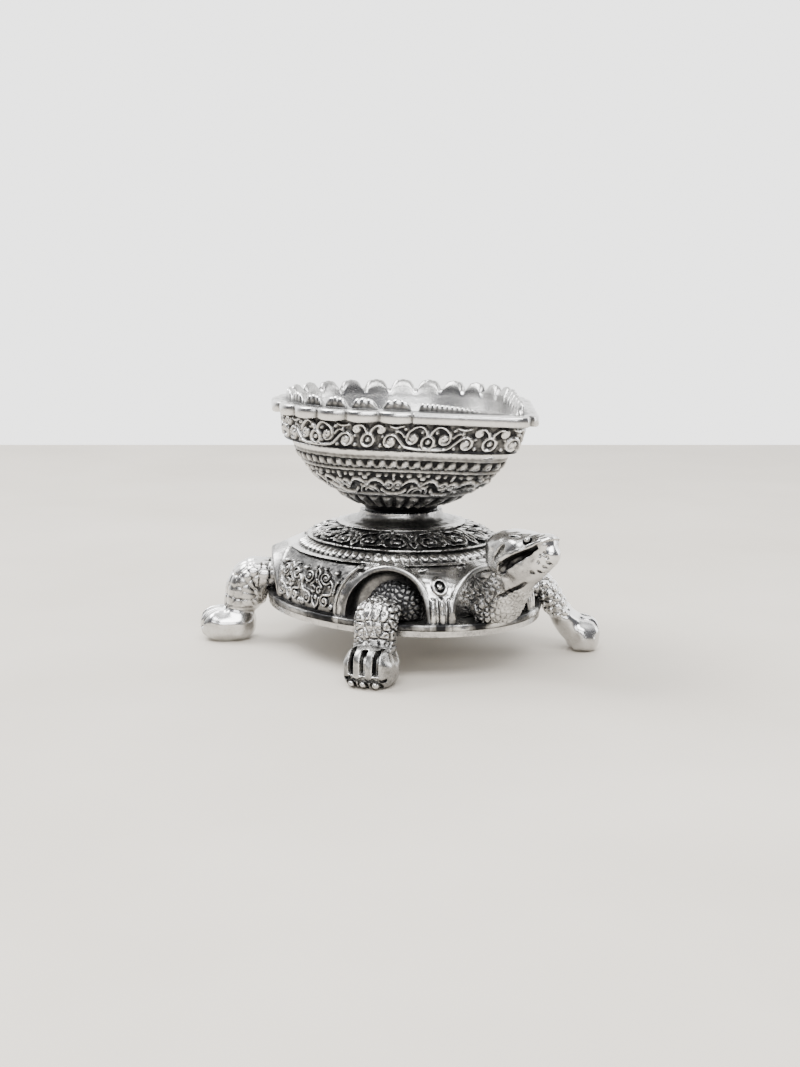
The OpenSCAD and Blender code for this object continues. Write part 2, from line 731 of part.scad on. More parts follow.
module bowl_body() {
    floor_h = (floor_z - wall_z) / wall_h;
    tongue_back = tongue_inset + tongue_t;
    tongue_round = tongue_t / 4;
    tongue_insets = [tongue_inset + tongue_round, tongue_back - tongue_round];
    loft(concat(
        [wall_ring(0, plain())],
        [for (h = flute_shares) wall_ring(h, flutes())],
        [wall_ring(flute_top, plain())],
        [for (v = leaf_shares) wall_ring(leaf_foot + (leaf_top - leaf_foot) * v, wave(leaf_l, v, leaf_out))],
        [wall_ring(bead_foot, plain())],
        [for (h = bead_shares) wall_ring(h, beads())],
        [for (h = [bead_top, 1 - band_h / wall_h]) wall_ring(h, plain())],
        [band_ring(0, plain())],
        [for (v = vine_shares) band_ring(v, wave(vine_l, v, vine_out))],
        [band_ring(1, plain())],
        [rim_ring(rim_chamfer, rim_z - rim_h, 1, 0)],
        [rim_ring(0, rim_z - rim_h / 2, 1, 0)],
        [rim_ring(rim_chamfer, rim_z, 1, 0)],
        [rim_ring(tongue_inset, rim_z, 0, 0)],
        [for (inset = tongue_insets) rim_ring(inset, rim_z, 0, 1)],
        [rim_ring(tongue_back, rim_z, 0, 0)],
        [for (h = inner_shares) inner_ring(h)],
        [leaf_ring(back_r(floor_h) / 2, keel_l(floor_h) / 2, tip_r(floor_h) / 2, floor_z, 0, plain())]
    ));
}

module diya_bowl() {
    color("whitesmoke") place() difference() {
        union() {
            bowl_body();
            translate([0, 0, collar_z]) cylinder(r = bowl_foot_r - foot_step, h = foot_ring_h + 1);
        }
        screw_bore(collar_z - 1, collar_z + screw_grip + screw_end_gap);
    }
}

// Tie screw and washer
module tie_screw() {
    head_top = ground_clearance - washer_t;
    slot_w = screw_head_d / 8;
    color("gray") place() difference() {
        union() {
            translate([0, 0, head_top]) cylinder(d = screw_d, h = collar_z + screw_grip - head_top);
            translate([0, 0, head_top - screw_head_h]) cylinder(d = screw_head_d, h = screw_head_h);
        }
        translate([-screw_head_d, -slot_w / 2, head_top - screw_head_h - 1])
            cube([2 * screw_head_d, slot_w, 1 + screw_head_h / 2]);
    }
}

module washer() {
    color("darkgray") place() difference() {
        translate([0, 0, ground_clearance - washer_t]) cylinder(d = washer_d, h = washer_t);
        screw_bore(ground_clearance - washer_t - 1, ground_clearance + 1);
    }
}

shell();
belly_plate();
diya_bowl();
head();
tail();
front_right_leg();
front_left_leg();
rear_right_leg();
rear_left_leg();
tie_screw();
washer();
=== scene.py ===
"""Looks of the turtle diya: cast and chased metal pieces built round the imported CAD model.

Lengths are in millimetres, measured from the shell's upright axis, until a mesh is made from them.
"""

import bpy
import numpy as np
from mathutils import Matrix, Vector


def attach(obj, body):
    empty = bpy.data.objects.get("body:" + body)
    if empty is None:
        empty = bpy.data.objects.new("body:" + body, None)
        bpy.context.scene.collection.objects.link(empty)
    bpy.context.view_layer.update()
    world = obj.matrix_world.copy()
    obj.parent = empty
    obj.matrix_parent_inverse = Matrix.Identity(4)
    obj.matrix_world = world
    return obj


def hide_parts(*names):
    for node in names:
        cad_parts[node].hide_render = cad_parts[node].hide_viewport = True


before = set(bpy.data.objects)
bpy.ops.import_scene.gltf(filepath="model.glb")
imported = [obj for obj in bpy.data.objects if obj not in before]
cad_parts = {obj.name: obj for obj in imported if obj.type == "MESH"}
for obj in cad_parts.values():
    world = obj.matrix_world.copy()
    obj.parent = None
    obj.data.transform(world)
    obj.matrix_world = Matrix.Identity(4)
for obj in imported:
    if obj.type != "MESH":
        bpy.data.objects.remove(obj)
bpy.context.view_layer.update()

# Sizes, as in the part's source
AXIS_X = -6.0
SHELL_Z, SILL_Z, COLLAR_Z = 11.6, 13.2, 34.6
SHELL_A, SHELL_B, RIM_BAND_OUT = 39.7, 31.2, 1.8
RING_A, RING_B, RING_Z, RING_BAND, RING_RISE = 28.5, 25.0, 25.4, 4.2, 2.7
COLLAR_FOOT_R, COLLAR_FOOT_Z, COLLAR_R = 13.2, 32.2, 10.2
WALL, CLEARANCE = 2.2, 0.3


# Shapes of numbers

def step(a, b, x):
    """Smooth change from 0 at a to 1 at b."""
    t = np.clip((x - a) / (b - a), 0, 1)
    return t * t * (3 - 2 * t)


def soft_min(a, b, k):
    """Lesser of a and b, rounded where they are within k of each other."""
    h = np.clip(0.5 + 0.5 * (b - a) / k, 0, 1)
    return b + (a - b) * h - k * h * (1 - h)


def soft_max(a, b, k):
    """Greater of a and b, rounded in the same way."""
    return -soft_min(-a, -b, k)


def hump(x, half):
    """Round-backed bump of height 1 between -half and half."""
    return np.sqrt(np.clip(1 - (x / half) ** 2, 0, 1))


def fold(x, pitch):
    """Distance from the middle of the nearest repeat, negative before it."""
    return x - pitch * np.round(x / pitch)


def lengths_along(points):
    """Length of a line up to each of its points."""
    return np.concatenate([[0], np.cumsum(np.linalg.norm(np.diff(points, axis=0), axis=1))])


def scatter(a, b, p, q):
    """Number between 0 and 1 that looks random, but is always the same for the same a and b."""
    mixed = np.sin(a * p + b * q) * 43758.5453
    return mixed - np.floor(mixed)


def pebbles(u, v, wrap, jitter=0.75):
    """Distance from the nearest of a jittered grid of points, and how much farther the next one is.

    Both are in cells, and the grid repeats after wrap cells along u.
    """
    i, j = np.floor(u), np.floor(v)
    first, second = np.full_like(u, 9.0), np.full_like(u, 9.0)
    for di in (-1, 0, 1):
        for dj in (-1, 0, 1):
            a, b = i + di, j + dj
            x = a + 0.5 + jitter * (scatter(a % wrap, b, 127.1, 311.7) - 0.5)
            y = b + 0.5 + jitter * (scatter(a % wrap, b, 269.5, 183.3) - 0.5)
            d = np.hypot(u - x, v - y)
            second = np.minimum(second, np.maximum(first, d))
            first = np.minimum(first, d)
    return first, second - first


def ripple(x, y, z, size, seed):
    """Soft irregular waves between about -1 and 1, for cast surfaces that are not quite true."""
    rng = np.random.default_rng(seed)
    total = 0
    for _ in range(5):
        k = rng.normal(size=3)
        k *= 2 * np.pi / (size * rng.uniform(0.7, 1.4) * np.linalg.norm(k))
        total = total + np.sin(k[0] * x + k[1] * y + k[2] * z + rng.uniform(0, 6))
    return total / 3


# Carved motifs: lines and beads drawn once and repeated along a band

def spline(*points):
    """Smooth line through the points."""
    p = np.array(points, float)
    p = np.vstack([2 * p[0] - p[1], p, 2 * p[-1] - p[-2]])
    f = np.linspace(0, 1, 12, endpoint=False)[:, None]
    pieces = [
        0.5 * (2 * b + (c - a) * f + (2 * a - 5 * b + 4 * c - d) * f ** 2 + (3 * b - a - 3 * c + d) * f ** 3)
        for a, b, c, d in zip(p, p[1:], p[2:], p[3:])
    ]
    return np.vstack(pieces + [p[-2:-1]])


def curl(x, y, r, start, turns, end=0.25):
    """Spiral round (x, y) from radius r to the share end of r.

    It starts at the angle start, in degrees, and runs clockwise where turns is negative.
    """
    f = np.linspace(0, 1, int(abs(turns) * 36) + 2)
    angle = np.radians(start) + 2 * np.pi * turns * f
    radius = r * (1 + (end - 1) * f)
    return np.c_[x + radius * np.cos(angle), y + radius * np.sin(angle)]


def both_sides(lines, beads):
    """A motif together with its mirror image about u = 0."""
    flipped = [(p * [-1, 1], w, h) for p, w, h in lines]
    return lines + flipped, beads + [(-x, y, r, h) for x, y, r, h in beads if abs(x) > 1e-6]


def motif(period, height, lines, beads, grain=0.07):
    """Function of (u, v) that gives the height of a pattern which repeats along u.

    Its lines are (points, half width, height) and its beads are (u, v, radius, height).
    """
    nu, nv = int(round(period / grain)), int(round(height / grain)) + 1
    u = (np.arange(nu) / nu - 0.5) * period
    v = np.linspace(0, height, nv)
    tile = np.zeros((nu, nv))
    for points, half_w, h in lines:
        near = np.full((nu, nv), 1e9)
        for x, y in points:
            du = fold(u - x, period)
            near = np.minimum(near, du[:, None] ** 2 + (v - y)[None, :] ** 2)
        tile = np.maximum(tile, h * step(half_w, 0.25 * half_w, np.sqrt(near)))
    for x, y, r, h in beads:
        d = np.sqrt(fold(u - x, period)[:, None] ** 2 + (v - y)[None, :] ** 2)
        tile = np.maximum(tile, h * hump(d, r))

    def at(u, v):
        i = (np.asarray(u) / period + 0.5) * nu
        j = np.clip(np.asarray(v) / height, 0, 1) * (nv - 1)
        i0, j0 = np.floor(i).astype(int), np.minimum(np.floor(j).astype(int), nv - 2)
        fi, fj = i - i0, j - j0
        i0, i1 = i0 % nu, (i0 + 1) % nu
        low = tile[i0, j0] * (1 - fi) + tile[i1, j0] * fi
        return low * (1 - fj) + (tile[i0, j0 + 1] * (1 - fi) + tile[i1, j0 + 1] * fi) * fj

    return at


VINE_L, VINE_H = 28.6, 6.4
vine = motif(VINE_L, VINE_H, *both_sides(
    [
        (curl(0, 2.15, 1.45, 0, 1, 1), 0.5, 0.8),
        (curl(14.3, 2.05, 1.45, 0, 1, 1), 0.5, 0.8),
        (spline((0.3, 3.6), (0.8, 4.7), (1.7, 5.5), (2.8, 5.5)), 0.5, 0.75),
        (curl(2.8, 4.55, 0.95, 90, -1.2), 0.45, 0.75),
        (curl(5.4, 1.95, 1.65, 90, 1.25), 0.52, 0.8),
        (spline((5.4, 3.6), (6.6, 3.3), (7.9, 2.0), (9.3, 0.8), (11.5, 0.42), (14.3, 0.35)), 0.5, 0.8),
        (spline((14.0, 3.5), (13.5, 4.8), (12.4, 5.7), (11.0, 5.5), (9.6, 4.4), (9.2, 3.2)), 0.48, 0.75),
        (curl(10.6, 2.9, 1.4, 190, 1.2), 0.48, 0.75),
        (spline((5.0, 5.5), (6.4, 5.2), (7.9, 5.6)), 0.42, 0.65),
        (spline((7.2, 4.3), (8.0, 3.9), (8.6, 3.1)), 0.36, 0.6),
    ],
    [
        (0, 2.15, 0.7, 0.75), (14.3, 2.05, 0.7, 0.75), (2.8, 4.5, 0.55, 0.8), (5.4, 1.9, 0.8, 0.9),
        (10.6, 2.85, 0.8, 0.9), (6.6, 4.3, 0.5, 0.65), (8.6, 5.0, 0.5, 0.65), (3.1, 0.8, 0.45, 0.55),
        (7.9, 0.7, 0.45, 0.55), (3.4, 3.0, 0.35, 0.5), (12.6, 4.3, 0.45, 0.6), (12.4, 1.3, 0.4, 0.5),
    ],
))

LEAF_L, LEAF_H = 12.0, 7.6
leaf_scroll = motif(LEAF_L, LEAF_H, *both_sides(
    [
        (spline((0, 3.3), (1.3, 4.9), (2.6, 5.0), (3.7, 3.9), (4.7, 2.6)), 0.55, 0.8),
        (curl(4.9, 3.8, 1.2, -100, 1.1), 0.5, 0.85),
        (curl(0, 0.6, 2.3, 10, 0.45, 1), 0.45, 0.7),
        (curl(0, 1.0, 1.1, 0, 0.5, 1), 0.35, 0.6),
        (spline((6, 0.3), (4.3, 0.5), (3.1, 1.6)), 0.5, 0.65),
        (spline((6, 5.2), (6, 6.6)), 0.5, 0.6),
    ],
    [
        (0, 5.7, 0.75, 0.8), (0.85, 6.6, 0.55, 0.65), (0, 4.3, 0.5, 0.7), (4.9, 3.8, 0.65, 0.85),
        (6, 1.7, 0.6, 0.6), (2.9, 6.3, 0.65, 0.7), (1.7, 2.9, 0.4, 0.5), (4.4, 6.2, 0.4, 0.5),
    ],
))

CROWN_L, CROWN_H = 14.2, 8.6
crown_scroll = motif(CROWN_L, CROWN_H, *both_sides(
    [
        (curl(3.4, 3.5, 2.3, 250, 1.35), 0.55, 0.85),
        (spline((2.8, 1.2), (1.4, 1.3), (0, 2.6)), 0.55, 0.8),
        (spline((0, 2.6), (0, 4.4)), 0.6, 0.7),
        (curl(0, 6.2, 1.3, 0, 1, 1), 0.45, 0.7),
        (spline((7.1, 0.8), (6.4, 2.8), (6.6, 5.0), (5.2, 6.9), (3.0, 7.3)), 0.55, 0.8),
    ],
    [
        (3.4, 3.5, 0.9, 0.95), (0, 6.2, 0.7, 0.8), (7.1, 6.6, 0.9, 0.8), (1.7, 7.9, 0.6, 0.6),
        (7.1, 3.6, 0.6, 0.7),
    ],
))

PANEL_L, PANEL_H = 13.0, 12.4
panel_scroll = motif(PANEL_L, PANEL_H, *both_sides(
    [
        (curl(3.2, 8.6, 2.0, 200, 1.45), 0.52, 0.95),
        (spline((1.2, 8.0), (0.3, 6.2), (1.0, 4.4), (2.8, 4.0)), 0.55, 0.95),
        (curl(3.0, 2.5, 1.5, 80, -1.3), 0.5, 0.95),
        (spline((6.5, 11.4), (5.7, 9.8), (5.8, 7.6), (4.4, 5.9)), 0.55, 0.9),
        (curl(5.3, 4.9, 1.0, 140, -1.0, 0.4), 0.45, 0.85),
        (spline((6.5, 0.5), (5.5, 1.6), (5.1, 3.0)), 0.5, 0.85),
    ],
    [
        (3.2, 8.6, 0.8, 1.0), (3.0, 2.5, 0.7, 0.95), (0, 4.6, 0.8, 0.85), (6.5, 7.3, 0.8, 0.9),
        (0, 10.6, 0.9, 0.9), (0.8, 1.2, 0.9, 0.9), (6.5, 3.0, 0.75, 0.85), (4.4, 11.4, 0.6, 0.75),
        (1.9, 6.2, 0.55, 0.65),
    ],
))


# Surfaces

def net(field, lo, hi, cell):
    """Quads along the zero level of field(x, y, z) inside a box, drawn onto that level."""
    axes = [np.arange(a, b + cell, cell) for a, b in zip(lo, hi)]
    y, z = np.meshgrid(axes[1], axes[2], indexing="ij")
    values = np.stack([field(np.full_like(y, x), y, z) for x in axes[0]])
    inside = values < 0
    corners = np.array([[i, j, k] for i in (0, 1) for j in (0, 1) for k in (0, 1)])
    size = np.array(values.shape) - 1
    count = sum(inside[i:i + size[0], j:j + size[1], k:k + size[2]].astype(np.int8) for i, j, k in corners)
    cells = np.argwhere((count > 0) & (count < 8))
    number = np.full(size, -1)
    number[tuple(cells.T)] = np.arange(len(cells))
    at = [values[tuple((cells + c).T)] for c in corners]
    total, hits = np.zeros((len(cells), 3)), np.zeros(len(cells))
    for a in range(8):
        for b in range(a + 1, 8):
            if abs(corners[a] - corners[b]).sum() == 1:
                crossed = (at[a] < 0) != (at[b] < 0)
                t = at[a][crossed] / (at[a][crossed] - at[b][crossed])
                total[crossed] += corners[a] + t[:, None] * (corners[b] - corners[a])
                hits[crossed] += 1
    points = np.array([a[0] for a in axes]) + cell * (cells + total / hits[:, None])
    quads = []
    for d in range(3):
        e = np.eye(3, dtype=int)
        along, a, b = e[d], e[(d + 1) % 3], e[(d + 2) % 3]
        ends = tuple(slice(0, n - along[i]) for i, n in enumerate(values.shape))
        starts = tuple(slice(along[i], n) for i, n in enumerate(values.shape))
        g = np.argwhere(inside[ends] != inside[starts])
        g = g[((g - a - b >= 0) & (g <= size - 1)).all(1)]
        around = [g - i * a - j * b for i, j in ((1, 1), (0, 1), (0, 0), (1, 0))]
        ring = np.stack([number[tuple(c.T)] for c in around], 1)
        out = inside[tuple(g.T)]
        quads.append(np.where(out[:, None], ring, ring[:, ::-1]))
    for _ in range(2):
        value, slope = gradient(field, points)
        shift = (value / np.maximum((slope ** 2).sum(1), 0.1))[:, None] * slope
        points -= np.clip(shift, -cell / 2, cell / 2)
    return points, np.vstack(quads)


def gradient(field, points, h=0.06):
    """Value and slope of field at points."""
    slope = np.empty_like(points)
    for i in range(3):
        d = np.eye(3)[i] * h
        slope[:, i] = (field(*(points + d).T) - field(*(points - d).T)) / (2 * h)
    return field(*points.T), slope


def openness(field, points, reaches=(0.35, 0.8, 1.8)):
    """Share of free room over each point: near 0 in a recess, 0.5 on level ground and 1 on an edge."""
    _, slope = gradient(field, points)
    n = slope / np.maximum(np.linalg.norm(slope, axis=1), 1e-6)[:, None]
    room = [np.clip(field(*(points + n * d).T) / d, -0.2, 1.6) for d in reaches]
    return np.clip(np.mean(room, axis=0) / 1.6, 0, 1)


def grid_faces(rows, columns):
    """Quads of a grid that closes round its columns."""
    i, j = np.meshgrid(np.arange(rows - 1), np.arange(columns), indexing="ij")
    k = (j + 1) % columns
    low, high = i * columns, (i + 1) * columns
    return np.stack([low + j, high + j, high + k, low + k], -1).reshape(-1, 4)


def grid_normals(p):
    """Outward directions of a closed grid of points."""
    along = np.gradient(p, axis=0)
    round_it = np.roll(p, -1, 1) - np.roll(p, 1, 1)
    n = np.cross(along, round_it)
    return n / np.maximum(np.linalg.norm(n, axis=-1), 1e-9)[..., None]


def blur(a, n):
    """Mean over about n cells each way on a grid that closes round its columns."""
    for axis in (0, 1):
        for _ in range(2):
            pad = np.concatenate([a[:1].repeat(n, 0), a, a[-1:].repeat(n, 0)]) if axis == 0 else a
            total = sum(np.roll(pad, d, axis) for d in range(-n, n + 1)) / (2 * n + 1)
            a = total[n:-n] if axis == 0 else total
    return a


def piece(name, points, quads, patina_and_painted_light, node, material, fans=()):
    """Mesh object that stands for a CAD node; its tone per point runs from 0 in the dark patina of recesses
    to 1 on polished edges, and also carries painted shade and painted highlights.
    """
    mesh = bpy.data.meshes.new(name)
    faces = [quads, *fans]
    mesh.vertices.add(len(points))
    mesh.vertices.foreach_set("co", ((points + [AXIS_X, 0, 0]) / 1000).astype(np.float32).ravel())
    loops = np.concatenate([f.ravel() for f in faces]).astype(np.int32)
    sizes = np.concatenate([np.full(len(f), f.shape[1]) for f in faces])
    mesh.loops.add(len(loops))
    mesh.loops.foreach_set("vertex_index", loops)
    mesh.polygons.add(len(sizes))
    mesh.polygons.foreach_set("loop_start", (np.cumsum(sizes) - sizes).astype(np.int32))
    mesh.update(calc_edges=True)
    mesh.shade_smooth()
    shade = mesh.attributes.new("patina_and_painted_light", "FLOAT", "POINT")
    shade.data.foreach_set("value", np.clip(patina_and_painted_light, 0, 1).astype(np.float32))
    mesh.materials.append(material)
    obj = bpy.data.objects.new(name, mesh)
    bpy.context.scene.collection.objects.link(obj)
    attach(obj, "root")
    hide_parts(node)


# Materials

# The darkest colour serves both the real patina and the painted shade
PATINA_AND_PAINTED_SHADE, GREY_METAL, WHITE_METAL = (0.018, 0.018, 0.019), (0.2, 0.197, 0.192), (0.56, 0.553, 0.54)
BUMP_HEIGHT = 0.00012


def nodes_of(material):
    """Nodes, links and main shader of a material."""
    material.use_nodes = True
    tree = material.node_tree
    return tree.nodes, tree.links, tree.nodes["Principled BSDF"]


def ramp(nodes, links, source, stops):
    """Colour that runs through stops (place, colour) as source grows."""
    node = nodes.new("ShaderNodeValToRGB")
    points = node.color_ramp.elements
    while len(points) < len(stops):
        points.new(0.5)
    for point, (place, colour) in zip(points, stops):
        point.position = place
        point.color = (*colour, 1)
    links.new(source, node.inputs["Fac"])
    return node.outputs["Color"]


def noise(nodes, links, place, per_mm, detail=3.0):
    """Irregular mottling with about per_mm spots to a millimetre."""
    node = nodes.new("ShaderNodeTexNoise")
    node.inputs["Scale"].default_value = per_mm * 1000
    node.inputs["Detail"].default_value = detail
    links.new(place, node.inputs["Vector"])
    return node.outputs["Fac"]


def math_node(nodes, links, operation, *values):
    """Result of an operation on numbers and on other nodes' outputs."""
    node = nodes.new("ShaderNodeMath")
    node.operation = operation
    for socket, value in zip(node.inputs, values):
        if isinstance(value, float):
            socket.default_value = value
        else:
            links.new(value, socket)
    return node.outputs["Value"]


def oxidised(name, dark=PATINA_AND_PAINTED_SHADE, mid=GREY_METAL, bright=WHITE_METAL, toned_per_point=True):
    """White metal with a black patina; where the flag is true, the mesh's tone attribute, which holds patina
    together with painted shade and painted highlights, sets which spots are bright.
    """
    material = bpy.data.materials.new(name)
    nodes, links, shader = nodes_of(material)
    place = nodes.new("ShaderNodeTexCoord").outputs["Object"]
    blotch = noise(nodes, links, place, 0.16, 4.0)
    grain = noise(nodes, links, place, 1.6, 5.0)
    patch = math_node(nodes, links, "MULTIPLY_ADD", blotch, 0.34, -0.17)
    speck = math_node(nodes, links, "MULTIPLY_ADD", grain, 0.3, -0.15)
    if toned_per_point:
        attribute = nodes.new("ShaderNodeAttribute")
        attribute.attribute_name = "patina_and_painted_light"
        base = attribute.outputs["Fac"]
    else:
        base = math_node(nodes, links, "MULTIPLY_ADD", noise(nodes, links, place, 0.5), 0.3, 0.45)
    level = math_node(nodes, links, "ADD", math_node(nodes, links, "ADD", base, patch), speck)
    # The brightest colour serves polished edges and the painted reflection inside the bowl
    polish_and_painted_reflection = [v * 0.5 + 0.5 for v in bright]
    colour = ramp(nodes, links, level, [(0.16, dark), (0.42, mid), (0.66, bright), (0.95, polish_and_painted_reflection)])
    links.new(colour, shader.inputs["Base Color"])
    rough = ramp(nodes, links, level, [(0.2, (0.46,) * 3), (0.5, (0.28,) * 3), (0.75, (0.21,) * 3)])
    links.new(rough, shader.inputs["Roughness"])
    shader.inputs["Metallic"].default_value = 1.0
    bump = nodes.new("ShaderNodeBump")
    bump.inputs["Strength"].default_value = 0.25
    bump.inputs["Distance"].default_value = BUMP_HEIGHT
    links.new(noise(nodes, links, place, 0.9, 4.0), bump.inputs["Height"])
    links.new(bump.outputs["Normal"], shader.inputs["Normal"])
    return material


metal = oxidised("oxidised_metal")
plate_metal = oxidised("plate_metal", toned_per_point=False)
steel = oxidised("fastener_steel", (0.1, 0.1, 0.1), (0.4, 0.4, 0.4), (0.6, 0.6, 0.6), toned_per_point=False)


# Bowl

BOWL_R, SPOUT_REACH, TIP_R, RIM_Z, RIM_H, RIM_FALL = 32.0, 48.6, 4.0, 61.6, 2.6, 1.4
PETAL_OUT = 1.5
FOOT_R, WALL_Z, WALL_TOP_R, WALL_TOP_L, BELLY_POWER, KEEL_POWER = 9.8, 36.3, 27.3, 39.5, 2.6, 2.45
WALL_H = RIM_Z - RIM_H - WALL_Z
BAND_FOOT = (28.8, 41.4, 4.6, 52.6)
BAND_TOP = (29.5, 44.8, 4.2, RIM_Z - RIM_H)
FLOOR_Z, BOWL_WALL, BORE_R, BORE_TOP = 42.6, 2.4, 2.08, 40.8
LEAF_TURN = np.arccos((BOWL_R - TIP_R) / (SPOUT_REACH - TIP_R))
BACK_L = BOWL_R * (np.pi - LEAF_TURN)
SIDE_L = ((SPOUT_REACH - TIP_R) ** 2 - (BOWL_R - TIP_R) ** 2) ** 0.5
HALF_L = BACK_L + SIDE_L + TIP_R * LEAF_TURN
COLUMNS = 760
SCALLOP = (BACK_L + 12) / 10
LEFT_SCALLOPS, RIGHT_SCALLOPS, TONGUE_H = 14, 10, 2.4

# Rows of ornament on the wall, by their heights above the floor; a line has a height, half width and relief
FLUTES_TOP, FLUTE_LINE, FLUTES = 40.2, 40.45, 15
LEAVES_FROM, LEAVES_TO, LEAVES_RISE, LEAF_REPEATS = 40.8, 47.2, 6.2, 5.5
BEADS_FROM, BEADS_TO, BEAD_PITCH, BEAD_Z = 47.0, 50.7, 2.75, 48.9
WALL_LINES = ((47.25, 0.36, 0.6), (50.35, 0.4, 0.6), (51.5, 0.9, 0.5))
VINE_START, VINE_REPEATS = 0.671, 7

# Insets of the rim's rings from its edge, with heights over its foot or shares of the tongues' height
RIM_FACE = (
    (1.3, 0.05), (0.45, 0.08), (0.12, 0.3), (0, 0.7), (0, 1.3), (0, 1.9), (0.12, 2.3), (0.45, 2.55),
)
RIM_TOP = (1.0, 1.5, 2.0, 2.3)
TONGUE_FRONT = ((2.4, 0.14), (2.45, 0.36), (2.54, 0.58), (2.68, 0.78), (2.88, 0.93))
TONGUE_BACK = (
    (3.12, 1.0), (3.42, 0.97), (3.72, 0.88), (4.0, 0.73), (4.25, 0.54), (4.45, 0.32), (4.6, 0.08),
)


def leaf_ring(s, side, r, l, t, z, fall, out=0, rise=0):
    """Points of one ring of the leaf at stations s, in mm along the rim from the back, on either side."""
    a = np.arccos(np.clip((r - t) / (l - t), -1, 1))
    f1 = (s - BACK_L) / SIDE_L
    f2 = (s - BACK_L - SIDE_L) / (HALF_L - BACK_L - SIDE_L)
    turn = np.where(s < BACK_L, np.pi - s / BACK_L * (np.pi - a), np.where(f1 < 1, a, a * (1 - f2)))
    n = np.stack([np.cos(turn), np.sin(turn)], -1)
    edge = np.array([np.cos(a), np.sin(a)])
    straight = (1 - f1)[:, None] * r * edge + f1[:, None] * ([l - t, 0] + t * edge)
    p = np.where((s < BACK_L)[:, None], r * n, np.where((f1 < 1)[:, None], straight, [l - t, 0] + t * n))
    p = p + np.reshape(out, (-1, 1)) * n
    slope = fall * RIM_FALL / (BOWL_R + SPOUT_REACH)
    height = z - slope * (p[:, 0] - (SPOUT_REACH - BOWL_R) / 2) + rise
    return np.stack([p[:, 0], p[:, 1] * side, height], -1)


def wall_size(h):
    """Back radius, spout reach and tip radius of the bowl's wall at share h of its height."""
    return (FOOT_R + (WALL_TOP_R - FOOT_R) * (1 - (1 - h) ** BELLY_POWER),
            FOOT_R + 0.6 + (WALL_TOP_L - FOOT_R - 0.6) * (1 - (1 - h) ** KEEL_POWER),
            TIP_R + (FOOT_R - TIP_R) * (1 - h) ** 1.2)


def wall_relief(u, half, z):
    """Height of the flutes, leaf scroll, bead row and lines on the wall, at u of half the way round."""
    relief = np.zeros_like(u)
    if z < FLUTES_TOP:
        flute = fold(u / half * FLUTES - 0.5, 1)
        relief = 0.75 * hump(flute, 0.4) * step(36.4, 37.1, z) * step(40.0, 39.3, z) * hump(flute, 0.5)
    relief = np.maximum(relief, 0.4 * hump(z - FLUTE_LINE, 0.34))
    if LEAVES_FROM < z < LEAVES_TO:
        across = (z - LEAVES_FROM) / LEAVES_RISE * LEAF_H
        relief = leaf_scroll(u / half * LEAF_REPEATS * LEAF_L - LEAF_L / 2, across)
    if BEADS_FROM < z < BEADS_TO:
        pitch = half / round(half / BEAD_PITCH)
        x = fold(u - pitch / 2, pitch)
        bead = 0.8 * hump(np.hypot(x, (z - BEAD_Z) * 0.9), 1.0)
        wings = 0.55 * hump(np.hypot(np.abs(x) - 0.72, z - 48.3), 0.62)
        relief = np.maximum(relief, np.maximum(bead, wings))
    for line, width, tall in WALL_LINES:
        relief = np.maximum(relief, tall * hump(z - line, width))
    return relief


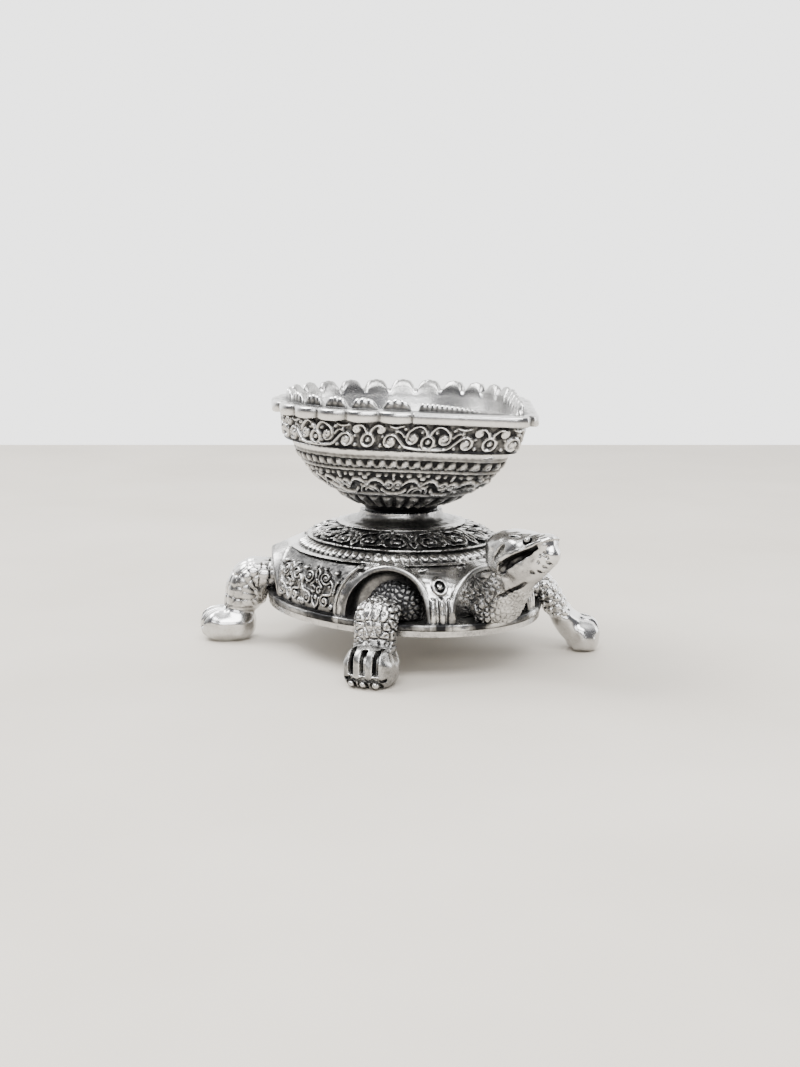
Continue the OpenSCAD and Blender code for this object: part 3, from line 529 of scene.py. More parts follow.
def make_bowl():
    """Bowl as a grid of rings, from its screw bore up the outside, over the rim and down to its floor."""
    station = np.arange(COLUMNS) * 2 * HALF_L / COLUMNS
    side = np.where(station <= HALF_L, 1.0, -1.0)
    s = np.where(station <= HALF_L, station, 2 * HALF_L - station)
    last = np.where(side > 0, LEFT_SCALLOPS, RIGHT_SCALLOPS) * SCALLOP
    scalloped = s < last
    in_scallop = s - SCALLOP * (np.floor(s / SCALLOP) + 0.5)
    petal = np.where(scalloped, np.abs(np.sin(np.pi * s / SCALLOP)) ** 0.6, 0.85)
    notch = (1 - petal) ** 2
    bar = step(last + 0.8, last + 2.0, s) * step(108, 104, s) * (1.8 - 1.3 * step(last, 106, s))
    knuckle = np.sqrt(np.clip(1 - np.abs(in_scallop / 3.5) ** 2.2, 0, 1))
    tongue = np.where(scalloped, (TONGUE_H + 0.3 * step(88, 104, s)) * knuckle, bar)
    ribs = np.where(scalloped, hump(fold(in_scallop, 1.95), 0.98), 0.8 * hump(fold(s, 1.2), 0.58))
    ribs *= np.clip(1.4 * tongue - 0.6, 0, 1)

    rings, heights, shades = [], [], []

    def add(size, z, fall, out=0.0, rise=0.0, height=0.0, shade=0.5):
        rings.append(leaf_ring(s, side, *size, z, fall, out, rise))
        heights.append(np.broadcast_to(height, s.shape))
        shades.append(np.broadcast_to(shade, s.shape))

    # Screw bore and foot, painted dark as the shade under the bowl
    add((0.4, 0.4001, 0.39), BORE_TOP, 0, shade=0.1)
    add((BORE_R, BORE_R + 0.001, BORE_R - 0.01), BORE_TOP, 0, shade=0.1)
    for r in (BORE_R, 6.0, 8.6):
        add((r, r + 0.001, r - 0.01), COLLAR_Z + 0.02, 0, shade=0.1)
    for z in np.linspace(COLLAR_Z + 0.02, WALL_Z, 6):
        r = 9.0 + 0.8 * step(COLLAR_Z + 0.3, WALL_Z, z)
        add((r, r + 0.5 * step(COLLAR_Z, WALL_Z, z) + 0.001, r - 0.01), z, 0, shade=0.12)

    # Wall with flutes, leaf scroll and bead row, up to the foot of the vine band
    top = (BAND_FOOT[3] - WALL_Z) / WALL_H
    fine = np.linspace(0, top, 400)
    run = np.cumsum(np.hypot(np.gradient(wall_size(fine)[0]), WALL_H * np.gradient(fine)))
    for h in np.interp(np.linspace(run[0], run[-1], 92)[1:], run, fine):
        z = WALL_Z + WALL_H * h
        ring = leaf_ring(s, side, *wall_size(h), z, h)
        arc = lengths_along(ring)
        u = np.where(side > 0, arc, arc[-1] + np.linalg.norm(ring[-1] - ring[0]) - arc)
        relief = wall_relief(u, arc[np.argmax(s)], z) + 0.06 * ripple(*ring.T, 1.7, 7)
        # Painted light on the wall: the cove from 50.7 mm up is lifted as a painted highlight, the strip from
        # 52.1 mm up under the vine band's overhang is a painted shadow, and the tone is darker towards the
        # bottom
        shade = 0.37 + 0.35 * step(50.7, 51.0, z) - 0.08 * step(41, 38, z) - 0.5 * step(52.1, 52.5, z)
        add(wall_size(h), z, h, height=relief, shade=shade)

    # Vine band
    # The rings under the band's overhang are painted dark as its shadow
    for f in (0.35, 0.7, 1.0):
        size = [a + (b - a) * f for a, b in zip(wall_size(top), BAND_FOOT[:3])]
        add(size, BAND_FOOT[3] - 0.15 * f, 1, shade=0.15)
    for f in np.linspace(0, 1, 30):
        size = [a + (b - a) * f for a, b in zip(BAND_FOOT, BAND_TOP)]
        ring = leaf_ring(s, side, *size, 1)
        arc = lengths_along(ring)
        share = arc / (arc[-1] + np.linalg.norm(ring[-1] - ring[0]))
        relief = 1.1 * vine((share - VINE_START) * VINE_REPEATS * VINE_L, f * VINE_H) - 0.45
        add(size[:3], size[3], 1, height=relief + 0.06 * ripple(*ring.T, 1.7, 7))

    # Rim, with its petals, the ribbed tongues that stand on it and the bars beside the spout
    def rim(inset, z, petals, rise=0.0, height=0.0, shade=0.7):
        size = (BOWL_R - PETAL_OUT - inset, SPOUT_REACH - PETAL_OUT - inset, max(TIP_R - inset / 2, 1))
        add(size, z, 1, PETAL_OUT * petals * petal, rise, height, shade)

    # Rim face: its underside and the notches between petals are painted dark as shade
    for inset, z in RIM_FACE:
        sag = 0.4 * scalloped * (petal - 0.5) * step(1.4, 0.2, z)
        rim(inset, RIM_Z - RIM_H + z, 1, rise=-sag, shade=0.2 if inset > 1 else 0.8 - 0.6 * notch)
    # Painted shade darkens the rim top towards the foot of the tongues
    for inset in RIM_TOP:
        rim(inset, RIM_Z, step(2.4, 0.8, inset), shade=0.64 - 0.3 * step(1.4, 2.3, inset))
    # Tongue fronts: darker at their foot as painted shade, lighter up the face and on the rib crests, partly
    # polish and partly a painted highlight
    for inset, f in TONGUE_FRONT:
        shade = 0.25 + 0.2 * f + 0.36 * ribs * f
        rim(inset, RIM_Z, 0, rise=f * (tongue + 0.3 * ribs - 0.2), height=0.4 * ribs * f, shade=shade)
    for inset, f in TONGUE_BACK:
        rim(inset, RIM_Z, 0, rise=f * tongue + 0.2 * ribs * (inset < 3.5), shade=0.62)

    # Smooth inside, whose slope runs out into the floor; its bright tone is partly polish and partly a
    # painted reflection of the lights
    for h in np.linspace(0.985, 0.44, 28):
        r, l, t = wall_size(h)
        size = (r - BOWL_WALL + 1.0 * h ** 4, l - BOWL_WALL + 5.4 * h ** 3, max(t - 1.2, 1.5))
        add(size, WALL_Z + (WALL_H + 1.6 * h ** 6) * h, h, shade=1.0)
    over, low = rings[-2], rings[-1]
    reach, drop = np.hypot(*low.T[:2]).mean(), low[:, 2].mean() - FLOOR_Z
    slope = (over - low)[:, 2].mean() / (np.hypot(*over.T[:2]).mean() - reach)
    power = slope * reach / drop
    for f in 1 - np.linspace(0.03, 0.98, 30) ** 1.5:
        rings.append(low * [f, f, 0] + [0, 0, 1] * (FLOOR_Z + (low[:, 2:] - FLOOR_Z) * f ** power))
        heights.append(np.zeros_like(s))
        shades.append(np.full_like(s, 1.0))

    base, height, shade = np.array(rings), np.array(heights), np.array(shades)
    points = base + grid_normals(base) * height[..., None]
    raised = height - blur(height, 4)
    patina_and_painted_light = shade + np.where(np.abs(raised) > 1e-6, 0.9 * raised - 0.06, 0)
    rows = len(base)
    ends = np.array([points[0].mean(0), points[-1].mean(0)])
    j = np.arange(COLUMNS)
    k = (j + 1) % COLUMNS
    bottom, middle, last_row = rows * COLUMNS, rows * COLUMNS + 1, (rows - 1) * COLUMNS
    fans = np.vstack([np.c_[np.full(COLUMNS, bottom), j, k],
                      np.c_[np.full(COLUMNS, middle), last_row + k, last_row + j]])
    points = np.vstack([points.reshape(-1, 3), ends])
    patina_and_painted_light = np.concatenate([patina_and_painted_light.ravel(), [0.1, 1.0]])
    piece("bowl", points, grid_faces(rows, COLUMNS), patina_and_painted_light, "diya_bowl", metal, (fans,))


make_bowl()


# Shell

SKIRT_A, SKIRT_B, SKIRT_BULGE = SHELL_A - RIM_BAND_OUT, SHELL_B - RIM_BAND_OUT, 0.72
ARCH_CROWN, ARCH_LIP, ARCH_LEAN, NICHE_DEPTH = 12.4, 1.4, np.tan(np.radians(12)), 4.4
LEG_ARCH_R, LEG_FACE, NECK_ARCH_R, NECK_FACE = 11.4, -3.4, 12.2, SHELL_A - 3.7
LEG_BACK, NECK_BACK = LEG_FACE - NICHE_DEPTH, NECK_FACE - NICHE_DEPTH
PANELS, RING_BEADS, CROWNS = 16, 74, 9

# The rear arches are hoods that spread outwards and fall towards their edge
HOOD_SPREAD, HOOD_H, HOOD_DROP, HOOD_FALL = 0.15, 12, 1.0, 0.42

# Pillars beside the neck, by their direction from the shell's axis and their half width in that direction
PILLAR_TURN, PILLAR_HALF, PILLAR_REACH, PILLAR_TOP, FLOWER_Z = 0.37, 0.075, 36, 23.5, 21.4


def rim_frame(degrees):
    """Point of the rim band's edge in a direction, and the turn square to the edge there."""
    a = np.radians(degrees)
    r = 1 / np.hypot(np.cos(a) / SHELL_A, np.sin(a) / SHELL_B)
    return r * np.cos(a), r * np.sin(a), np.arctan2(np.sin(a) / SHELL_B ** 2, np.cos(a) / SHELL_A ** 2)


def into(place, x, y):
    """Level coordinates from a rim frame."""
    px, py, t = place
    return (x - px) * np.cos(t) + (y - py) * np.sin(t), (y - py) * np.cos(t) - (x - px) * np.sin(t)


def dome_profile():
    """Half length, half width and height of the dome's rings, from the sill to the collar."""
    f = np.linspace(0, 1, 40)
    skirt = np.c_[SKIRT_A - f ** 2 * (SKIRT_A - RING_A), SKIRT_B - f ** 2 * (SKIRT_B - RING_B),
                  SILL_Z + (2 * f * (1 - f) * SKIRT_BULGE + f ** 2) * (RING_Z - SILL_Z)]
    ring = [RING_A - RING_BAND, RING_B - RING_BAND, RING_Z + RING_RISE]
    collar_r = COLLAR_FOOT_R + (COLLAR_R - COLLAR_FOOT_R) * (1 - (1 - f) ** 2)
    collar = np.c_[collar_r, collar_r, COLLAR_FOOT_Z + (COLLAR_Z - COLLAR_FOOT_Z) * f ** 2]
    return np.vstack([skirt, ring, collar])


LEG_PLACES = [rim_frame(angle) for angle in (-44, 44, -136, 136)]
NECK_PLACE = (0, 0, 0)
ARCHES = [(place, LEG_ARCH_R, LEG_FACE) for place in LEG_PLACES] + [(NECK_PLACE, NECK_ARCH_R, NECK_FACE)]
PROFILE = dome_profile()
LENGTHS = np.concatenate([[0], np.cumsum(np.hypot(np.diff(PROFILE[:, 0]), np.diff(PROFILE[:, 2])))])
LEVELS = np.linspace(SILL_Z, COLLAR_Z, 240)
SLOPES = np.clip(np.gradient(np.interp(LEVELS, PROFILE[:, 2], PROFILE[:, 0]), LEVELS), -3.5, 0)
RING_FROM, RING_TO = np.interp([RING_Z, RING_Z + RING_RISE], PROFILE[:, 2], LENGTHS)


def oval_gap(x, y, a, b):
    """Level distance outside an oval with half axes a and b."""
    r = np.hypot(x, y)
    return r - r / np.maximum(np.hypot(x / a, y / b), 1e-6)


def arch_gap(y, z, r, crown):
    """Distance outside an upright arch that stands on z = 0."""
    return np.where(z > crown - r, np.hypot(y, z - crown + r) - r, np.abs(y) - r)


def shell_relief(x, y, z):
    """Height of the chased ornament on the dome."""
    turn = np.arctan2(y, x)
    share = turn / (2 * np.pi)
    run = np.interp(z, PROFILE[:, 2], LENGTHS)
    below_ring = run < RING_FROM - 0.9
    height = panel_scroll(share * PANELS * PANEL_L, run - 0.4) * step(RING_FROM - 0.9, RING_FROM - 1.5, run)
    in_ring = run - (RING_FROM + RING_TO) / 2
    width = (RING_TO - RING_FROM) / 2
    bead = fold(share * RING_BEADS + in_ring * 0.06, 1) * 2.2
    height = np.where(np.abs(in_ring) < width + 0.7, 0.75 * hump(np.hypot(bead, in_ring * 0.7), 0.95), height)
    for edge in (-width + 0.1, width - 0.1):
        height = np.maximum(height, 0.75 * hump(in_ring - edge, 0.62))
    above = run - RING_TO - 0.7
    scroll = crown_scroll(share * CROWNS * CROWN_L + 3, above) * step(CROWN_H, CROWN_H - 0.4, above)
    height = np.where(above > 0, np.maximum(height, scroll), height)
    height = np.maximum(height, 0.45 * hump(above - CROWN_H - 0.6, 0.7))
    for place, r, face in ARCHES:
        lx, ly = into(place, x, y)
        near = (lx > face - 9) & (np.abs(ly) < r + 4)
        edge = arch_gap(ly, z - SILL_Z, r, ARCH_CROWN)
        height = np.where(near & (edge < 1.2) & below_ring, 0, height)
        if place is not NECK_PLACE:
            away = ly * np.sign(place[0] * place[1]) > 0
            line = 0.7 * hump(edge - 1.6, 0.5) * below_ring
            height = np.where(near & away & (edge < 2.3), np.maximum(0.35 * height, line), height)
            for bead_y in (7.4, -7.4):
                bead = 0.85 * hump(np.hypot(ly - bead_y, run - RING_FROM + 1.9), 0.9)
                height = np.where(near, np.maximum(height, bead), height)
    beside = np.abs(turn) - PILLAR_TURN
    bars = 0.85 * hump(fold(beside, 0.056) * PILLAR_REACH, 0.7) * step(19.2, 18.4, z)
    off = np.hypot(beside * PILLAR_REACH, z - FLOWER_Z)
    flower = np.maximum(0.8 * hump(off - 1.5, 0.42), 0.9 * hump(off, 0.8))
    pillar = (np.abs(beside) < PILLAR_HALF) & (z < PILLAR_TOP)
    return np.where(pillar, np.maximum(bars, flower), height)


def shell_field(x, y, z):
    """Distance, roughly, to the hollow shell with its rim band, arches and niches."""
    zc = np.clip(z, SILL_Z, COLLAR_Z)
    a, b = np.interp(zc, PROFILE[:, 2], PROFILE[:, 0]), np.interp(zc, PROFILE[:, 2], PROFILE[:, 1])
    tilt = 1 / np.hypot(1, np.interp(zc, LEVELS, SLOPES))
    dome = np.maximum(oval_gap(x, y, a, b) * tilt, np.maximum(z - COLLAR_Z, SHELL_Z - z))
    near = np.abs(dome) < 1.6
    relief = np.zeros_like(dome)
    relief[near] = shell_relief(x[near], y[near], z[near]) + 0.05 * ripple(x[near], y[near], z[near], 1.8, 9)
    body = np.maximum(dome - relief, z - COLLAR_Z)
    band = oval_gap(x, y, SHELL_A - 0.2, SHELL_B - 0.2) + 0.14 * ripple(x, y, z, 3.4, 12)
    band = soft_max(band, np.abs(z - (SHELL_Z + SILL_Z) / 2) - 0.8, 0.5)
    hollow = np.maximum(oval_gap(x, y, a - WALL, b - WALL) * tilt, z - COLLAR_FOOT_Z + WALL)
    niche = np.full_like(dome, 1e9)
    for place, r, face in ARCHES:
        lx, ly = into(place, x, y)
        lz = z - SILL_Z
        hood = place[0] < 0
        visor = hood * HOOD_SPREAD * np.clip(lz, 0, HOOD_H)
        front = (lx - face - visor + (0 if hood else ARCH_LEAN) * lz) * 0.98
        lz = lz + hood * (HOOD_DROP + HOOD_FALL * (lx - face))
        back = face - NICHE_DEPTH
        outline = arch_gap(ly, lz, r, ARCH_CROWN)
        rim = np.maximum(front - 0.5 * hump(outline + ARCH_LIP / 2, ARCH_LIP / 2), outline)
        base = np.maximum(SHELL_Z + 0.4 - z, oval_gap(x, y, SHELL_A - 0.9 + visor, SHELL_B - 0.9 + visor))
        block = np.maximum(np.maximum(rim, back - WALL - lx), base)
        body = soft_min(body, block, 0.35)
        hollow = np.maximum(hollow, -np.maximum(outline, back - WALL - lx))
        inner = arch_gap(ly, lz, r - ARCH_LIP, ARCH_CROWN - ARCH_LIP)
        niche = np.minimum(niche, np.maximum(soft_max(inner, back - lx, 2.4), SILL_Z - z))
    solid = np.maximum(np.maximum(np.minimum(body, band), -niche), -hollow)
    return np.maximum(solid, BORE_R - np.hypot(x, y))


def make_shell():
    """Shell, darkest in the patina of its chased ground and brightest on its arch lips and beads, partly as
    polish and partly as painted highlights, with painted shade under the bowl and in the leg niches.
    """
    cell = 0.26
    low, high = (-SHELL_A - 1, -SHELL_B - 1, SHELL_Z - 0.7), (SHELL_A + 1, SHELL_B + 1, COLLAR_Z + 0.7)
    points, quads = net(shell_field, low, high, cell)
    patina_and_painted_light = 0.84 * openness(shell_field, points) - 0.07
    x, y, z = points.T
    run = np.interp(z, PROFILE[:, 2], LENGTHS)
    # The collar flare under the bowl gets an even mid-dark tone as painted shade
    smooth = step(COLLAR_FOOT_Z - 1.2, COLLAR_FOOT_Z, z) * step(COLLAR_Z, COLLAR_Z - 1.2, z)
    patina_and_painted_light = np.where(z > COLLAR_FOOT_Z - 1.2, patina_and_painted_light * (1 - smooth) + 0.36 * smooth, patina_and_painted_light)
    # The ring band is lifted, and the crown above it a little, partly as polish and partly as a painted
    # highlight
    on_ring = step(RING_FROM - 1.2, RING_FROM, run) * step(RING_TO + 1.2, RING_TO, run)
    patina_and_painted_light = patina_and_painted_light + 0.08 * step(RING_FROM, RING_TO, run) + 0.14 * on_ring
    patina_and_painted_light = patina_and_painted_light + (0.34 * ripple(x, y, z, 6.0, 6) - 0.04) * step(SILL_Z + 0.15, SILL_Z - 0.1, z)
    for place, r, face in ARCHES:
        lx, ly = into(place, x, y)
        edge = arch_gap(ly, z - SILL_Z, r, ARCH_CROWN)
        outside = (lx > face - 9) & (np.abs(ly) < r + 2)
        # Arch lips lifted, partly as polish and partly as a painted highlight
        patina_and_painted_light = patina_and_painted_light + 0.28 * outside * step(1.8, 1.0, edge) * step(-0.1, 0.1, edge)
        # Inside the niches the tone is painted: dark in the leg niches as their shade, lighter in the neck
        # niche as painted light
        inside = (edge < -ARCH_LIP) & (lx > face - NICHE_DEPTH - 0.5) & (z > SILL_Z)
        shade = 0.6 if place is NECK_PLACE else 0.38
        patina_and_painted_light = np.where(inside, shade + 0.08 * ripple(x, y, z, 5.0, 8), patina_and_painted_light)
    piece("shell_casting", points, quads, patina_and_painted_light, "shell", metal)


make_shell()


# Limbs

def limb(x, y, z, path, radii, flat):
    """Distance to a tapering limb along a path in the xz plane, the run along it and the turn round it."""
    y = y * flat
    best, run, turn = np.full_like(x, 1e9), np.zeros_like(x), np.zeros_like(x)
    lengths = lengths_along(path)
    for i, (a, b) in enumerate(zip(path, path[1:])):
        d = (b - a) / np.linalg.norm(b - a)
        along = (x - a[0]) * d[0] + (z - a[1]) * d[1]
        t = np.clip(along, 0, lengths[i + 1] - lengths[i])
        across = (z - a[1] - t * d[1]) * d[0] - (x - a[0] - t * d[0]) * d[1]
        gap = np.sqrt(across ** 2 + y ** 2 + (along - t) ** 2) - np.interp(lengths[i] + t, lengths, radii)
        nearer = gap < best
        best = np.where(nearer, gap, best)
        run = np.where(nearer, lengths[i] + t, run)
        turn = np.where(nearer, np.arctan2(y, across), turn)
    return best, run, turn


def curve(p, c, q, n):
    """Points of a curve from p to q that is drawn towards c."""
    f = np.linspace(0, 1, n)[:, None]
    return (1 - f) ** 2 * np.array(p) + 2 * f * (1 - f) * np.array(c) + f ** 2 * np.array(q)


def pitted(run, turn):
    """Uneven scales with a pit in the middle of each; turn is the share of the way round."""
    middle, edge = pebbles(turn * 12, run / 1.9, 12, 0.8)
    return 0.44 * step(0.03, 0.32, edge) - 0.3 * step(0.22, 0.08, middle)


def beaded(run, turn):
    """Rows of pearls."""
    u, v = turn * 10, run / 2.0
    x = fold(u + 0.5 * (np.round(v) % 2), 1)
    return 0.65 * hump(np.hypot(x * 2.2, fold(v, 1) * 2.0), 1.0)


def lumpy(run, turn):
    """Soft lumps."""
    middle, edge = pebbles(turn * 11, run / 2.3, 11, 0.7)
    return 0.5 * hump(middle, 0.8) + 0.08 * step(0.0, 0.3, edge)


def ball(p, q, w, middle, size):
    """Distance, roughly, to an ellipsoid with half axes size."""
    k = np.sqrt(sum(((a - m) / b) ** 2 for a, m, b in zip((p, q, w), middle, size)))
    return (k - 1) * min(size)


def cone(p, q, w, a, b, ra, rb):
    """Distance to a tapering bar with round ends from a to b, in the middle plane."""
    d = np.subtract(b, a)
    t = np.clip(((p - a[0]) * d[0] + (w - a[1]) * d[1]) / (d @ d), 0, 1)
    return np.sqrt((p - a[0] - t * d[0]) ** 2 + q ** 2 + (w - a[1] - t * d[1]) ** 2) - ra - (rb - ra) * t


LEG_W, FOOT_W, FOOT_H = 10.2, 11.8, 8.7
TOE_GAP = FOOT_W / 4
SHOULDER, SHOULDER_SIZE = (-6.0, 0, 15.6), (3.9, 6.4, 6.2)
CALF, CALF_SIZE = (4.2, 0, 12.6), (4.0, 4.7, 5.4)


def leg_field(thick, toe_out, foot_l, bend, skin, lean, carved=0, boot=0, calf=0):
    """Leg in its rim frame, thick at the thigh, with its toes toe_out from the rim band.

    lean is the side to which its shoulder spreads. carved adds the nails, boot slants the heel and calf fills
    the crook of the knee.
    """
    thigh_z = SILL_Z + CLEARANCE + thick / 2
    ankle = (toe_out - 0.7 * foot_l, FOOT_H / 2 + boot)
    path = np.vstack([[LEG_BACK, thigh_z], curve((CLEARANCE, thigh_z), bend, ankle, 11)])
    swell = 0.2 * np.sin(np.pi * np.linspace(0, 1, 11))
    radii = np.concatenate([[thick / 2], np.linspace(thick / 2, thick / 2 * 0.9, 11) + swell]) - 0.3
    flat = (thick / 2 - 0.3) / (LEG_W / 2 - 0.7)
    length = np.linalg.norm(np.diff(path, axis=0), axis=1).sum()
    angle = np.linspace(-np.pi, np.pi, 181)
    even = np.cumsum(np.hypot(np.sin(angle), np.cos(angle) / flat))
    even = (even - even[0]) / (even[-1] - even[0]) - 0.5
    middle = toe_out - foot_l / 2
    top = FOOT_H + 0.7 * carved
    power = 2.5 + 0.6 * carved

    def field(x, y, z):
        shank, run, turn = limb(x, y, z, path, radii, flat)
        if calf:
            crook = ball(x, y, z, CALF, CALF_SIZE)
            shank = soft_min(shank, np.maximum(crook, CLEARANCE - x), 1.6)
        hide = skin(run, np.interp(turn, angle, even))
        hide = hide * step(8.4, 9.6, z) * step(length - 3.6, length - 4.6, run)
        cuff = 0.5 * hump(run - length + 4.2, 0.6) * step(middle - 4, middle - 2, x) * carved
        shoulder = ball(x, y - 1.4 * lean, z, SHOULDER, SHOULDER_SIZE)
        _, edge = pebbles(y / 1.15 + 40, z / 1.15 + 40, 99, 0.8)
        shoulder = np.maximum(shoulder - 0.24 * step(0.0, 0.4, edge), SILL_Z + CLEARANCE - z)
        pz = (z - top / 2 + 0.25) / (top / 2 + 0.25)
        py = y / (FOOT_W / 2) / (1.02 - 0.18 * step(0.1, 0.95, pz))
        if boot:
            paw = cone(x, y * 0.66, z, (toe_out - 8.6, 8.0), (toe_out - 4.4, 3.9), 3.1, 3.9)
            toes = (np.abs(x - toe_out + 4.1) / 4.1) ** 2.5 + np.abs(py) ** 2.5
            toes = toes + (np.abs(z - 4.0) / 4.5) ** 2.5
            paw = soft_min(paw, ((toes + 1e-9) ** 0.4 - 1) * 4.1, 0.8)
        else:
            px = (x - middle) / (foot_l / 2)
            paw = (np.abs(px) ** power + np.abs(py) ** power + np.abs(pz) ** power + 1e-9) ** (1 / power)
            paw = (paw - 1) * FOOT_H / 2
        front = step(middle - 0.6, middle + 0.8, x)
        between = np.abs(y) < 1.5 * TOE_GAP
        slot = step(0.8, 0.45, np.abs(fold(y, TOE_GAP))) * between
        slot = slot * front * step(3.3, 3.9, z) * step(9.0, 8.2, z)
        wavy = z - 2.55 - 0.28 * np.cos(2 * np.pi * y / TOE_GAP)
        crease = hump(wavy, 0.36) * front * step(5.3, 4.7, np.abs(y))
        from_nail = np.hypot(fold(y, TOE_GAP), z - 1.25)
        nail = (hump(from_nail, 0.78) - 0.9 * hump(from_nail - 1.0, 0.3)) * front * between
        paw = paw + (0.5 + 0.9 * carved) * slot + carved * (0.5 * crease - 0.45 * nail)
        paw = paw + 0.12 * ripple(x, y, z, 4.0, 5)
        body = soft_min(soft_min(shank - hide - cuff, shoulder, 0.8), paw, 1.2)
        return np.maximum(body, np.maximum(-z, LEG_BACK - x))

    return field


def make_leg(name, node, place, brightening, foot_brightening, toe_out, **form):
    """Leg that stands in its rim frame, with its skin and its foot brightened apart as painted light."""
    field = leg_field(toe_out=toe_out, **form)
    points, quads = net(field, (LEG_BACK - 0.5, -9, -0.5), (toe_out + 0.9, 9, 24), 0.24)
    x, y, z = points.T
    foot = step(9.6, 8.0, z)
    patina_and_painted_light = openness(field, points) + foot_brightening * foot + brightening * (1 - foot)
    # Painted shade: the leg darkens where it runs back into its niche
    patina_and_painted_light = patina_and_painted_light - 0.3 * step(0.5, -3.0, x)
    px, py, t = place
    placed = np.c_[px + x * np.cos(t) - y * np.sin(t), py + x * np.sin(t) + y * np.cos(t), z]
    piece(name, placed, quads, patina_and_painted_light, node, metal)


# Each leg's brightening is painted light, so these copies of one metal are lit and shaded apart
make_leg("leg_front_right", "front_right_leg", LEG_PLACES[0], brightening=0.02, foot_brightening=0.06, toe_out=10.8,
         thick=5.5, foot_l=11.4, bend=(4.05, 16.25), skin=pitted, lean=1, carved=1)
make_leg("leg_front_left", "front_left_leg", LEG_PLACES[1], brightening=0.34, foot_brightening=0.28, toe_out=14.9,
         thick=5.8, foot_l=11.4, bend=(1.8, 15.4), skin=beaded, lean=-1, boot=1)
REAR_LEGS = (
    ("leg_rear_right", "rear_right_leg", LEG_PLACES[2], -1),
    ("leg_rear_left", "rear_left_leg", LEG_PLACES[3], 1),
)
for name, node, place, lean in REAR_LEGS:
    make_leg(name, node, place, brightening=0.12, foot_brightening=0.28, toe_out=16.9,
             thick=7.2, foot_l=14.0, bend=(8.2, 19.2), skin=lumpy, lean=lean, calf=1)


# Head and neck

HEAD_X, HEAD_Z, HEAD_TILT = 47.5, 29.0, np.radians(30)
NECK_Z = SILL_Z + CLEARANCE + 4.0
NECK_BEND, NECK_TOP = (39.4, NECK_Z + 1.3), (44.6, 28.2)
NECK_PATH = np.vstack([[NECK_BACK, NECK_Z], curve((NECK_FACE, NECK_Z), NECK_BEND, NECK_TOP, 11)])
NECK_RADII = np.concatenate([[4.3], np.linspace(4.1, 3.6, 11)])

# Small pits of the face, by their places along the head and square to it
PITS = (
    (8.9, -3.0), (8.2, -4.0), (8.6, -1.9), (7.4, -1.9), (6.6, -4.4), (4.8, -4.7), (3.4, -4.3), (6.2, -3.0),
)


def head_axes(x, z):
    """Place along the tilted head and square to it."""
    dx, dz = x - HEAD_X, z - HEAD_Z
    return dx * np.cos(HEAD_TILT) + dz * np.sin(HEAD_TILT), dz * np.cos(HEAD_TILT) - dx * np.sin(HEAD_TILT)


def skull_field(x, q, z):
    """Head without its mouth, eyes and hollows."""
    p, w = head_axes(x, z)
    k = ((np.abs(x - 45.2) / 7.6) ** 3 + (q / 6.2) ** 3 + (np.abs(z - 29.7) / 5.3) ** 3 + 1e-9) ** (1 / 3)
    upper = soft_min((k - 1) * 5.3, cone(p, q * 0.82, w, (0.0, 1.3), (8.1, 0.3), 4.4, 2.4), 0.8)
    jaw = cone(p, q * (0.82 + 0.5 * step(1, 8, p)), w, (-4.6, -2.6), (7.6, -2.1), 3.9, 3.0)
    return soft_min(upper, jaw, 0.4)


def mouth_edges(x, z):
    """Height over the mouth's middle line, and half its gap there."""
    p, w = head_axes(x, z)
    return w + 1.0 - 0.08 * (p + 3.0), (1.35 - 0.088 * (p + 3.0)) * step(-5.6, -1.2, p)


def mouth_field(x, q, z):
    """Wedge between the jaws."""
    p, _ = head_axes(x, z)
    over, gap = mouth_edges(x, z)
    ends = np.maximum(-4.4 - p, p - 8.0)
    return np.maximum(np.abs(over) - gap, np.maximum(-(skull_field(x, q, z) + 2.4), ends))


def neck_field(x, y, z):
    """Neck with its scales and rows of pearls, and a fuller throat."""
    q = np.abs(y)
    over_sill = SILL_Z + CLEARANCE - z
    neck, run, turn = limb(x, y, z, NECK_PATH, NECK_RADII, 0.87)
    base = np.maximum(ball(x, q, z, (37.4, 0, 14.8), (3.6, 5.4, 4.6)), over_sill)
    throat = np.maximum(cone(x, q * 0.8, z, (45.2, 24.2), (39.6, 16.6), 3.6, 3.8), over_sill)
    _, edge = pebbles((q - 0.5 * x) / 1.2 + 60, z / 1.2 + 60, 999, 0.9)
    pearl = 0.55 * hump(np.hypot((np.abs(turn) - 1.8) * 4.2, fold(run, 2.1)), 0.95)
    neck = soft_min(neck, base, 2.0) - np.maximum(0.3 * step(0.0, 0.5, edge), pearl)
    throat = throat + 0.15 * ripple(x, y, z, 3.5, 2) - 0.22 * step(0.0, 0.5, edge) * step(24, 21, z)
    return soft_min(neck, throat, 1.0)


